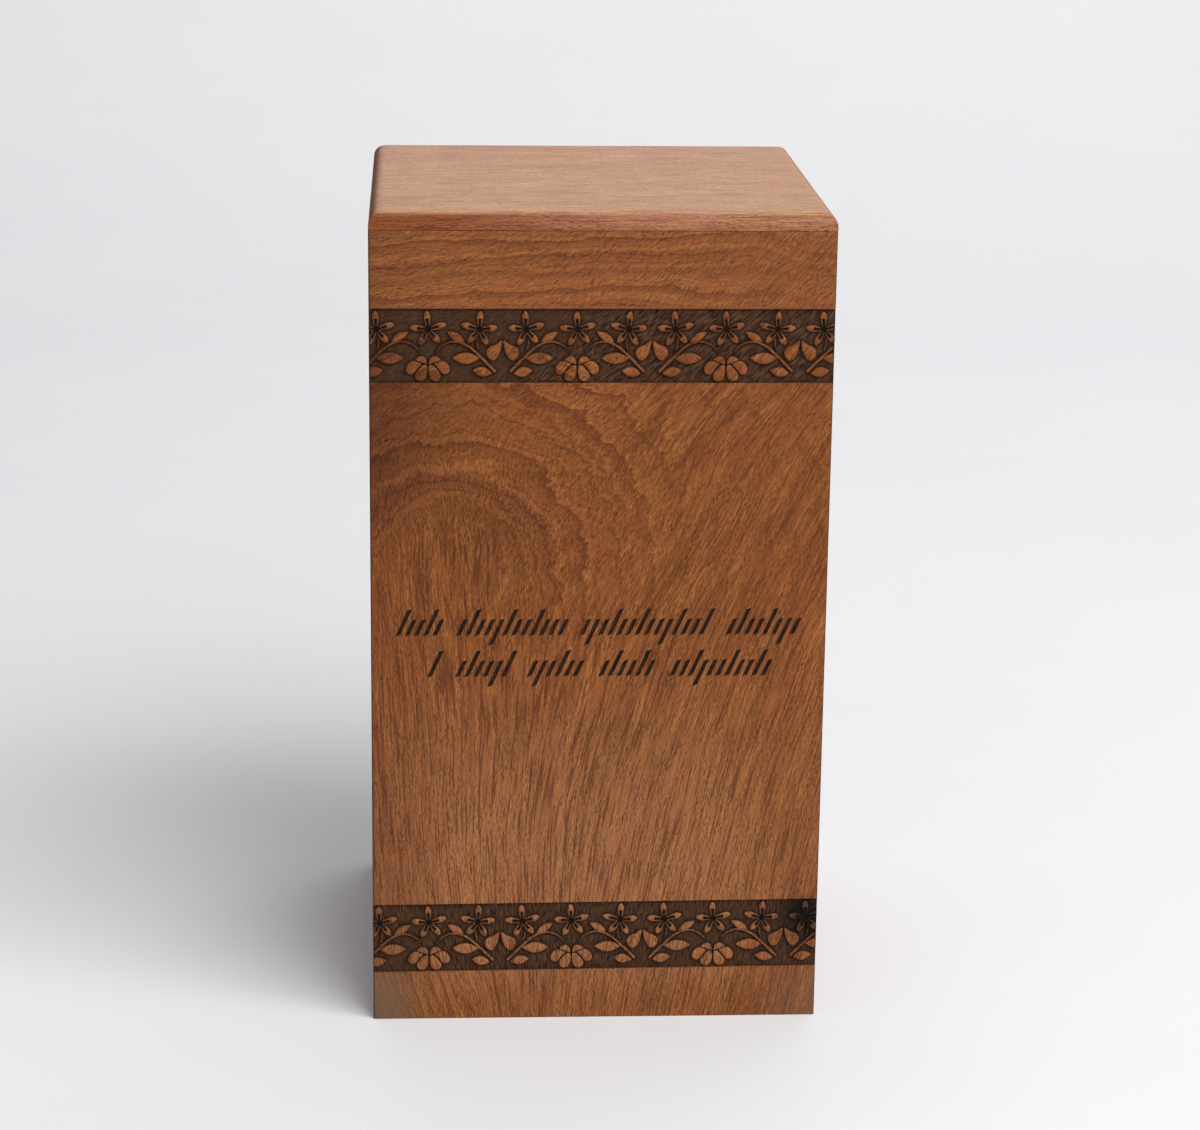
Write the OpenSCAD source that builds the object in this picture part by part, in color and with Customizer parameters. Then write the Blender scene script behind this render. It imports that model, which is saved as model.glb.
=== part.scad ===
// Cremation urn box: a square wooden box with a lift-off lid and two carved flower bands on its front.
// Millimetres, +Z up, origin on the underside at the centre of the plan. The carved front faces -Y.

/* [Box] */
// Width of the box, left to right
box_w = 158.75; // [125:0.05:220]
// Depth of the box, front to back
box_d = 158.75; // [125:0.05:220]
// Height of the closed box, from the underside to the lid's top
box_h = 292.1; // [240:0.1:380]
// Thickness of the four walls
wall_t = 12.7; // [8:0.1:18]
// Thickness of the base board
base_t = 12.7; // [6:0.1:18]
// Rounding of the upright outer edges of the front and back boards
arris_r = 0.8; // [0.2:0.1:3]

/* [Lid] */
// Thickness of the lid board
lid_t = 12.7; // [9:0.05:20]
// Height of the lid's edge that shows above the walls
lid_edge_h = 6.35; // [3:0.05:8]
// Rounding of the lid's upper edges
lid_round_r = 5; // [1:0.1:7]
// Clearance between the lid's step and each wall
lid_clearance = 0.4; // [0.1:0.05:1.5]

/* [Carved bands] */
// Height of each band; its flowers and leaves grow with it
band_h = 25.8; // [20:0.1:32]
// Depth of the ground that is cut away around the flowers
ground_depth = 1.1; // [0.5:0.1:3]
// Distance from the top of the walls down to the upper band
upper_band_drop = 26.6; // [10:0.1:45]
// Distance from the underside up to the lower band
lower_band_rise = 18.5; // [8:0.1:40]
// Slope of the lower band, which is cut slightly out of level, in degrees
lower_band_tilt = 0.4; // [0:0.1:1]
// Place of one low flower, measured to the right of the middle of the front
low_flower_x = -8.6; // [-25:0.1:25]

/* [Flowers and leaves, at a band height of 25.8] */
// Length of a star flower's petal
petal_l = 5.2; // [3.5:0.1:6]
// Width of a star flower's petal
petal_w = 2.35; // [1.5:0.05:3]
// Radius of the sunk eye of a star flower
eye_r = 1; // [0.8:0.1:1.6]
// Width of the vine where it is thin
vine_w = 0.7; // [0.5:0.1:1]
// Width of the vine at its foot
vine_foot_w = 1.1; // [0.9:0.1:1.5]
// Width of a flower's stalk
stalk_w = 0.45; // [0.3:0.05:0.7]
// Width of the gaps between a low flower's petals
petal_gap = 0.4; // [0.2:0.05:0.6]

/* [Stroke rows] */
// Distance from the top of the walls down to the first row's baseline
row_drop = 142.3; // [100:0.1:160]
// Distance between the two baselines
row_pitch = 15; // [13:0.1:20]
// Distance from each end of the first row to the side of the box
first_row_margin = 8.4; // [5:0.1:25]
// Distance from each end of the second row to the side of the box
second_row_margin = 19.4; // [5:0.1:35]
// Gap between two groups of strokes
group_gap = 4; // [3:0.1:8]
// Distance between two strokes of a group
stroke_pitch = 3.2; // [2.6:0.1:5]
// Width of a stroke, measured along its row
stroke_w = 1.8; // [0.8:0.1:2.2]
// Rise of a stroke's slanted ends, as a share of its width
nib_rise = 0.3; // [0:0.05:0.6]
// Height of a short stroke
stroke_h = 5.8; // [4:0.1:7]
// Height that a tall stroke adds above, or a deep one below
stroke_extra = 3.6; // [2:0.1:4.5]
// Lean of the strokes to the right, in degrees
stroke_lean = 24; // [0:1:35]
// Depth of the strokes
stroke_depth = 0.6; // [0.2:0.1:1.5]

/* [Hidden] */
$fn = 64;

WOOD = "#8c5535";
LID_WOOD = "#a4653f";
BASE_WOOD = "#7d4b30";

// A cut runs this far past the face that it starts from, and an overlap reaches this far into its neighbour.
OVERRUN = 2;
LAP = 0.2;

wall_h = box_h - lid_edge_h;
inner_w = box_w - 2 * wall_t;
inner_d = box_d - 2 * wall_t;

// The lid's rounding leaves some upright edge under it.
LEAST_UPRIGHT = 0.5;
lid_r = min(lid_round_r, lid_edge_h - LEAST_UPRIGHT);

// The motif is drawn in a half repeat of this width and in a band of this height, then scaled to the band.
HALF_REPEAT = 25.4;
DRAWN_BAND_H = 25.8;
motif_scale = band_h / DRAWN_BAND_H;
repeat_w = 2 * HALF_REPEAT * motif_scale;

// Star flowers: their height in the band, how far the side one stands from the low flower, and their petals.
STAR_UP = 18.5;
STAR_OUT = 17.5;
PETAL_ANGLES = [93, 16, -49, -117, 174];

// The vine rises round one centre, turns down round another and runs out straight to its foot.
VINE_TOP = [9.6, 14.3];
RISE_R = 8.5;
RISE_ANGLE = 145;
FALL_R = 5.6;
FALL_ANGLE = 47;
VINE_FOOT = [23.1, 3.7];
STALK = [[16.7, 14.2], [17.3, 11.2]];

// Leaves that are pointed at both ends: base, tip and width.
LEAVES = [
    [[12.4, 14.3], [6.6, 17.7], 2.6],
    [[17.6, 8.6], [8.2, 8.6], 4.2],
    [[21.8, 3.5], [15.2, 4.3], 3.3]
];

// Leaf with a round end, one of a pair: tip, centre of the round end and its radius.
ROUND_LEAF = [[25, 14.6], [22.3, 10.3], 2.5];

// One half of a low flower: tip, centre of the round end and its radius.
LOW_PETALS = [
    [[0.5, 6.3], [2.2, 7.7], 1.5],
    [[2.3, 6.3], [5.2, 5.1], 2.15],
    [[0.8, 6.3], [2.45, 2.75], 1.95]
];
LOW_PETAL_GAPS = [
    [[0.2, 6.1], [4.8, 8.1]],
    [[2.1, 6.6], [4.7, 2.7]]
];

// Angle by which a drop's straight sides lean in, so that they end inside its round.
DROP_TUCK = 2;

// Lengths of the stroke groups, one against another, row by row.
FIRST_ROW_GROUPS = [17, 39, 47, 27];
SECOND_ROW_GROUPS = [6, 22, 22, 22, 37];

function direction(from, to) = atan2(to[1] - from[1], to[0] - from[0]);
function polar(r, angle) = r * [cos(angle), sin(angle)];
function sum(list, count) = count == 0 ? 0 : list[count - 1] + sum(list, count - 1);

// Outline pointed at both ends, between two circles that cross.
module lens(from, to, width) {
    chord = norm(to - from);
    radius = (chord * chord + width * width) / (4 * width);
    translate(from)
        rotate(direction(from, to))
            intersection() {
                translate([chord / 2, radius - width / 2]) circle(radius);
                translate([chord / 2, width / 2 - radius]) circle(radius);
            }
}

// Straight strip whose width changes evenly from one end to the other.
module strip(from, to, from_w, to_w) {
    length = norm(to - from);
    translate(from)
        rotate(direction(from, to))
            polygon([
                [0, -from_w / 2],
                [length, -to_w / 2],
                [length, to_w / 2],
                [0, from_w / 2]
            ]);
}

// Strip bent round a centre, between two angles.
module arc_strip(centre, radius, width, low_angle, high_angle) {
    reach = 2 * radius;
    translate(centre)
        intersection() {
            difference() {
                circle(radius + width / 2);
                circle(radius - width / 2);
            }
            polygon([
                [0, 0],
                polar(reach, low_angle),
                polar(reach, (low_angle + high_angle) / 2),
                polar(reach, high_angle)
            ]);
        }
}

// Outline with a point at one end and a round at the other.
module drop(tip, centre, radius) {
    reach = norm(centre - tip);
    spread = asin(radius / reach);
    side = reach * cos(spread);
    translate(tip)
        rotate(direction(tip, centre)) {
            translate([reach, 0]) circle(radius);
            polygon([
                [0, 0],
                polar(side, DROP_TUCK - spread),
                [reach, 0],
                polar(side, spread - DROP_TUCK)
            ]);
        }
}

module star_flower() {
    for (angle = PETAL_ANGLES)
        lens(polar(eye_r, angle), polar(eye_r + petal_l, angle), petal_w);
}

module vine() {
    rise_centre = VINE_TOP - [0, RISE_R];
    fall_centre = VINE_TOP - [0, FALL_R];
    fall_end = fall_centre + polar(FALL_R, FALL_ANGLE);
    arc_strip(rise_centre, RISE_R, vine_w, 90, RISE_ANGLE);
    arc_strip(fall_centre, FALL_R, vine_w, FALL_ANGLE, 90);
    strip(fall_end - LAP * [1, -1], VINE_FOOT, vine_w, vine_foot_w);
    strip(STALK[0], STALK[1], stalk_w, stalk_w);
}

module low_petals() {
    difference() {
        for (petal = LOW_PETALS)
            drop(petal[0], petal[1], petal[2]);
        for (gap = LOW_PETAL_GAPS)
            strip(gap[0], gap[1], petal_gap, petal_gap);
    }
}

// What stands between a low flower's axis and the middle of the next pair of leaves.
module half_motif() {
    translate([STAR_OUT, STAR_UP]) mirror([1, 0]) star_flower();
    vine();
    for (leaf = LEAVES)
        lens(leaf[0], leaf[1], leaf[2]);
    drop(ROUND_LEAF[0], ROUND_LEAF[1], ROUND_LEAF[2]);
    low_petals();
}

module motif() {
    translate([0, STAR_UP]) star_flower();
    half_motif();
    mirror([1, 0]) half_motif();
}

// Ground of one band, with the flowers and leaves left standing in it.
module band_ground() {
    half_w = box_w / 2 + OVERRUN;
    first = floor((-half_w - low_flower_x) / repeat_w + 0.5);
    last = ceil((half_w - low_flower_x) / repeat_w - 0.5);
    difference() {
        translate([-half_w, 0]) square([2 * half_w, band_h]);
        for (i = [first:last])
            translate([low_flower_x + i * repeat_w, 0]) scale(motif_scale) motif();
    }
}

// One row of slanted strokes in groups. A few strokes are tall or deep, by a simple rule on their number.
module stroke_row(groups, margin) {
    row_w = box_w - 2 * margin;
    share = (row_w - (len(groups) - 1) * group_gap) / sum(groups, len(groups));
    for (g = [0:len(groups) - 1]) {
        start = -row_w / 2 + sum(groups, g) * share + g * group_gap;
        count = max(1, floor(groups[g] * share / stroke_pitch));
        for (i = [0:count - 1]) {
            above = (5 * i + 3 * g) % 7 < 2 ? stroke_extra : 0;
            below = (3 * i + g) % 8 == 5 ? stroke_extra : 0;
            foot = [start + i * stroke_pitch, 0];
            lean = [tan(stroke_lean), 1];
            low = foot - below * lean;
            high = foot + (stroke_h + above) * lean;
            nib = stroke_w * [1, nib_rise];
            polygon([low, low + nib, high + nib, high]);
        }
    }
}

// Cuts an outline drawn on the front, x across and y up, to a depth behind the front's face.
module cut_in_front(depth) {
    translate([0, depth - box_d / 2, 0])
        rotate([90, 0, 0])
            linear_extrude(depth + OVERRUN) children();
}

// Wall as wide as the box, its outer face at y = 0 and its outer upright edges rounded.
module wide_board() {
    linear_extrude(wall_h)
        difference() {
            translate([-box_w / 2, 0]) square([box_w, wall_t]);
            for (side = [0, 1])
                mirror([side, 0])
                    translate([arris_r - box_w / 2, arris_r])
                        difference() {
                            translate([-arris_r - OVERRUN, -arris_r - OVERRUN]) square(arris_r + OVERRUN);
                            circle(arris_r);
                        }
        }
}

module front_board() {
    first_baseline = wall_h - row_drop;
    color(WOOD)
        difference() {
            translate([0, -box_d / 2, 0]) wide_board();
            cut_in_front(ground_depth)
                translate([0, wall_h - upper_band_drop - band_h]) band_ground();
            cut_in_front(ground_depth)
                translate([0, lower_band_rise]) rotate(lower_band_tilt) band_ground();
            cut_in_front(stroke_depth) {
                translate([0, first_baseline]) stroke_row(FIRST_ROW_GROUPS, first_row_margin);
                translate([0, first_baseline - row_pitch])
                    stroke_row(SECOND_ROW_GROUPS, second_row_margin);
            }
        }
}

module back_board() {
    color(WOOD)
        rotate(180) translate([0, -box_d / 2, 0]) wide_board();
}

// Side wall, between the front and back boards. side is -1 on the left and 1 on the right.
module side_board(side) {
    color(WOOD)
        translate([side * (box_w - wall_t) / 2 - wall_t / 2, -inner_d / 2, 0])
            cube([wall_t, inner_d, wall_h]);
}

module left_board() {
    side_board(-1);
}

module right_board() {
    side_board(1);
}

module base_board() {
    color(BASE_WOOD)
        translate([-inner_w / 2, -inner_d / 2, 0]) cube([inner_w, inner_d, base_t]);
}

// Section through the part of the lid that shows, with both upper corners rounded.
module lid_section(width) {
    difference() {
        translate([-width / 2, 0]) square([width, lid_edge_h]);
        for (side = [0, 1])
            mirror([side, 0])
                translate([width / 2 - lid_r, lid_edge_h - lid_r])
                    difference() {
                        square(lid_r + OVERRUN);
                        circle(lid_r);
                    }
    }
}

module lid() {
    step_w = inner_w - 2 * lid_clearance;
    step_d = inner_d - 2 * lid_clearance;
    step_h = lid_t - lid_edge_h;
    color(LID_WOOD)
        translate([0, 0, wall_h]) {
            intersection() {
                rotate([90, 0, 0])
                    linear_extrude(box_d, center = true) lid_section(box_w);
                rotate([90, 0, 90])
                    linear_extrude(box_w, center = true) lid_section(box_d);
            }
            translate([-step_w / 2, -step_d / 2, -step_h]) cube([step_w, step_d, step_h]);
        }
}

lid();
front_board();
back_board();
left_board();
right_board();
base_board();
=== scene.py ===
"""Looks of a carved wooden urn box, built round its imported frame.

Lengths in the classes are millimetres unless a comment says otherwise, and meshes are made in metres.
The front faces -Y, x runs to the right along it and z runs up.
"""

import logging
import math
from dataclasses import dataclass, field
from enum import Enum
from functools import partial
from typing import ClassVar, Iterable, Sequence

import bmesh
import bpy
import numpy as np
from mathutils import Matrix, Vector
from mathutils.geometry import delaunay_2d_cdt


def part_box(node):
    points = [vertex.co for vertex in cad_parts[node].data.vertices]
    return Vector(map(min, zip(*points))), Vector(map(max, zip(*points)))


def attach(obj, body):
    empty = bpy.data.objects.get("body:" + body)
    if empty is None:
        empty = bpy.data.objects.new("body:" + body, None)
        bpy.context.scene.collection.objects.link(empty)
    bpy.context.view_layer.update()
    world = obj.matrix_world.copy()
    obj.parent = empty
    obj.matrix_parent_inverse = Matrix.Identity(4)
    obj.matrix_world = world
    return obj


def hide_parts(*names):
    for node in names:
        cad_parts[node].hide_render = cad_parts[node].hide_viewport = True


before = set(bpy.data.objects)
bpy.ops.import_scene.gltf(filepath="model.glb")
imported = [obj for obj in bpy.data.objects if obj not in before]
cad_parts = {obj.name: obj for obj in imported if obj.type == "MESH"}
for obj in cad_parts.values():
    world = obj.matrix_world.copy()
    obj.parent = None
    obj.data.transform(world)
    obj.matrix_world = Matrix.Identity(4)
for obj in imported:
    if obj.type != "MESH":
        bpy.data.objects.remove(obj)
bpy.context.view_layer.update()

log = logging.getLogger("urn_box")

MM = 0.001
BODY = "root"
VECTORS = ("grain", "plane", "heading")
SCALARS = ("rings", "figure", "scorch_and_shade", "shade", "stain", "wear_and_sheen")
# Stands in for zero in a division.
TINY = 1e-12

Array = np.ndarray
Pair = tuple[float, float]
Place = tuple[float, float, float]
# A gain, and the two places between which it comes.
Turn = tuple[float, float, float]
Tree = bpy.types.NodeTree
Socket = bpy.types.NodeSocket

# Sockets of a Mix node share their names, and so they are taken by number.
FACTOR, VALUE_A, VALUE_B, COLOUR_A, COLOUR_B = 0, 2, 3, 6, 7
MIXED = 2
# Settings that make a Mix node mix colours, and a Map Range node start and end softly.
COLOUR = {"data_type": "RGBA"}
SOFT = {"interpolation_type": "SMOOTHSTEP"}


# ---------------------------------------------------------------- shader helpers


def linear(hex_code: str) -> tuple[float, float, float, float]:
    """Turns an sRGB hex colour into the linear values that shaders take.

    Args:
        hex_code: Colour such as "#9A5D38".

    Returns:
        Linear red, green and blue, and an alpha of one.
    """
    # The constants are those of the sRGB standard.
    channels = [int(hex_code[i : i + 2], 16) / 255 for i in (1, 3, 5)]
    red, green, blue = (c / 12.92 if c <= 0.04045 else ((c + 0.055) / 1.055) ** 2.4 for c in channels)
    return red, green, blue, 1.0


def add_node(
    tree: Tree,
    kind: str,
    out: int | str = 0,
    inputs: dict[int | str, object] | None = None,
    **settings: object,
) -> Socket | None:
    """Adds a node with its settings and links.

    Args:
        tree: Node tree that gets the node.
        kind: Node type, without the words "ShaderNode".
        out: Output socket that the caller needs.
        inputs: A value, or an output socket to link, by the name or number of each input socket.
        settings: Values of the node's own properties.

    Returns:
        The output socket, or None for a node that has none.
    """
    made = tree.nodes.new("ShaderNode" + kind)
    for key, value in settings.items():
        setattr(made, key, value)
    for key, value in (inputs or {}).items():
        if isinstance(value, bpy.types.NodeSocket):
            tree.links.new(value, made.inputs[key])
        else:
            made.inputs[key].default_value = value
    return made.outputs[out] if made.outputs else None


def span(value: Socket, between: Pair) -> dict[str, object]:
    """Names the inputs of a Map Range node that starts from two values."""
    return {"Value": value, "From Min": between[0], "From Max": between[1]}


# ---------------------------------------------------------------- plane geometry


def smooth(points: Sequence, step: float, closed: bool = True) -> Array:
    """Runs an even curve through a few points.

    Args:
        points: Rows of values; the first two of a row are its place.
        step: Distance between the samples.
        closed: Whether the curve returns to its start.

    Returns:
        Sampled rows. A closed curve doesn't repeat its first one.
    """
    # This is a Catmull-Rom curve: each piece takes its slopes from the points on both sides of it.
    p = np.asarray(points, float)
    count = len(p)
    pieces = []
    for i in range(count if closed else count - 1):
        if closed:
            a, b, c, d = (p[(i + k) % count] for k in (-1, 0, 1, 2))
        else:
            a, b, c, d = p[max(i - 1, 0)], p[i], p[i + 1], p[min(i + 2, count - 1)]
        steps = max(1, round(float(np.linalg.norm(c[:2] - b[:2])) / step))
        t = (np.arange(steps) / steps)[:, None]
        pieces.append(b + 0.5 * t * (c - a + t * (2 * a - 5 * b + 4 * c - d + t * (3 * b - a - 3 * c + d))))
    if not closed:
        pieces.append(p[-1:])
    return np.vstack(pieces)


def spindle(base: Pair, tip: Pair, width: float, shares: Sequence[Pair], belly: float, step: float) -> Array:
    """Draws an outline that is pointed at both ends, such as a petal or a leaf.

    Args:
        base: Point where it starts.
        tip: Point where it ends.
        width: Widest measure across.
        shares: Places along it, from 0 to 1, each with the share of the width there.
        belly: Fullness of the right side against the left one.
        step: Distance between the samples.

    Returns:
        The closed outline.
    """
    start, end = np.array(base, float), np.array(tip, float)
    along = end - start
    across = np.array([-along[1], along[0]]) / np.linalg.norm(along) * width / 2
    left = [start + along * t + across * share for t, share in shares]
    right = [start + along * t - across * share * belly for t, share in reversed(shares)]
    return np.vstack(
        [
            smooth([start, *left, end], step, closed=False)[:-1],
            smooth([end, *right, start], step, closed=False)[:-1],
        ]
    )


def ribbon(line: Sequence[Place], step: float) -> Array:
    """Draws the outline of a strip that follows a line.

    Args:
        line: Points of the line, each with the strip's width there.
        step: Distance between the samples.

    Returns:
        The closed outline.
    """
    centre = smooth(line, step, closed=False)
    run = np.gradient(centre[:, :2], axis=0)
    run /= np.linalg.norm(run, axis=1)[:, None]
    across = np.column_stack([-run[:, 1], run[:, 0]]) * centre[:, 2:3] / 2
    return np.vstack([centre[:, :2] + across, (centre[:, :2] - across)[::-1]])


def grow(outline: Array, by: float) -> Array:
    """Moves a closed outline outward along its own normals.

    Args:
        outline: The outline.
        by: How far it moves.

    Returns:
        The larger outline, with as many points.
    """
    run = np.roll(outline, -1, axis=0) - np.roll(outline, 1, axis=0)
    normal = np.column_stack([run[:, 1], -run[:, 0]]) / np.linalg.norm(run, axis=1)[:, None]
    following = np.roll(outline, -1, axis=0)
    area = float((outline[:, 0] * following[:, 1] - following[:, 0] * outline[:, 1]).sum())
    return outline + normal * by * math.copysign(1, area)


def inside_distance(points: Array, outline: Array) -> Array:
    """Measures how deep points lie inside a closed outline.

    Args:
        points: Rows of plane points.
        outline: Rows of the outline's corners, in order.

    Returns:
        Distance to the outline, below zero for a point outside it.
    """
    start, end = outline, np.roll(outline, -1, axis=0)
    edge = end - start
    offset = points[:, None] - start
    share = np.clip((offset * edge).sum(2) / np.maximum((edge**2).sum(1), TINY), 0, 1)
    nearest = np.sqrt(((offset - share[..., None] * edge) ** 2).sum(2).min(1))
    height = points[:, 1:2]
    spans = (start[:, 1] > height) != (end[:, 1] > height)
    rise = np.where(edge[:, 1] == 0, TINY, edge[:, 1])
    meets = start[:, 0] + (height - start[:, 1]) * edge[:, 0] / rise
    inside = (spans & (points[:, :1] < meets)).sum(1) % 2 == 1
    return np.where(inside, nearest, -nearest)


def hex_points(low: Pair, high: Pair, step: float) -> Array:
    """Fills a rectangle with staggered rows of points.

    Args:
        low: The rectangle's lower left corner.
        high: Its upper right corner.
        step: Distance between neighbouring points.

    Returns:
        Rows of plane points.
    """
    row_gap = step * math.sqrt(3) / 2
    rows = np.arange(low[1] + row_gap / 2, high[1], row_gap)
    columns = np.arange(low[0] + step / 4, high[0] - step / 2, step)
    return np.array([(x + (i % 2) * step / 2, y) for i, y in enumerate(rows) for x in columns]).reshape(-1, 2)


def ramp(value: Array, low: float, high: float) -> Array:
    """Rises smoothly from 0 at low to 1 at high."""
    t = np.clip((value - low) / (high - low), 0, 1)
    return t * t * (3 - 2 * t)


def gain(value: Array, turn: Turn) -> Array:
    """Rises smoothly from 0 to a turn's gain, between its two places."""
    most, first, last = turn
    return most * ramp(value, first, last)


def waves(x: Array, y: Array, length: float) -> Array:
    """Gives a gentle unevenness.

    Args:
        x: Places in one direction.
        y: Places in the other one.
        length: Distance between the hollows.

    Returns:
        Values between -1 and 1.
    """
    k = 2 * math.pi / length
    # Three trains of waves that run different ways: their rates along x and y, and their starts.
    trains = ((1.0, 0.31, 1.3), (-0.41, 0.83, 0.4), (0.62, 0.57, 2.9))
    return sum(np.sin(k * (right * x + up * y) + start) for right, up, start in trains) / len(trains)


# ---------------------------------------------------------------- meshes


@dataclass
class Surface:
    """A mesh in millimetres with what its finish needs at each vertex.

    The finish's vectors are the place along the fibres, the place in the board's plane and the fibres'
    heading there. Its scalars are the place across the rings, how clearly they show, how scorched the wood
    is, with painted shade drawn as more soot, how greyed and how much darker it is drawn, and how pale it
    is, from bare wood and from painted sheen.
    """

    places: Array
    faces: list[tuple[int, ...]]
    grain: Array
    plane: Array
    heading: Array
    rings: Array
    figure: Array
    scorch_and_shade: Array
    shade: Array
    stain: Array
    wear_and_sheen: Array

    def make(
        self, name: str, material: bpy.types.Material, node: str, slot: str, crease: float
    ) -> bpy.types.Object:
        """Turns the surface into a piece that stands for a frame node.

        Args:
            name: Name of the piece.
            material: Its finish.
            node: Frame node that it replaces.
            slot: Material slot of the record. It is not used.
            crease: Angle in degrees above which an edge stays sharp.

        Returns:
            The new object.
        """
        mesh = bpy.data.meshes.new(name)
        mesh.from_pydata((self.places * MM).tolist(), [], self.faces)
        for label in VECTORS:
            layer = mesh.attributes.new(label, "FLOAT_VECTOR", "POINT")
            layer.data.foreach_set("vector", getattr(self, label).astype(np.float32).ravel())
        for label in SCALARS:
            layer = mesh.attributes.new(label, "FLOAT", "POINT")
            layer.data.foreach_set("value", getattr(self, label).astype(np.float32))
        mesh.validate()
        mesh.shade_smooth()
        mesh.set_sharp_from_angle(angle=math.radians(crease))
        mesh.materials.append(material)
        piece = bpy.data.objects.new(name, mesh)
        bpy.context.scene.collection.objects.link(piece)
        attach(piece, BODY)
        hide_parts(node)
        return piece


# ---------------------------------------------------------------- finishes


@dataclass(frozen=True)
class Pattern:
    """A layer of noise in the wood, sized in millimetres across the fibres and along them."""

    across: float
    along: float
    octaves: float
    shift: float
    contrast: float = 0.6

    def value(self, tree: Tree, place: Socket) -> Socket:
        """Adds the noise to a material.

        Args:
            tree: Node tree of the material.
            place: Socket with the place across, along and through the board.

        Returns:
            The socket of the noise's value.
        """
        scale = (1 / self.across, 1 / self.along, 1 / self.across)
        shift = (self.shift, self.shift, 0.0)
        fitted = add_node(tree, "VectorMath", 0, {0: place, 1: scale, 2: shift}, operation="MULTIPLY_ADD")
        inputs = {"Vector": fitted, "Scale": 1.0, "Detail": self.octaves, "Roughness": self.contrast}
        return add_node(tree, "TexNoise", "Fac", inputs)


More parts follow.
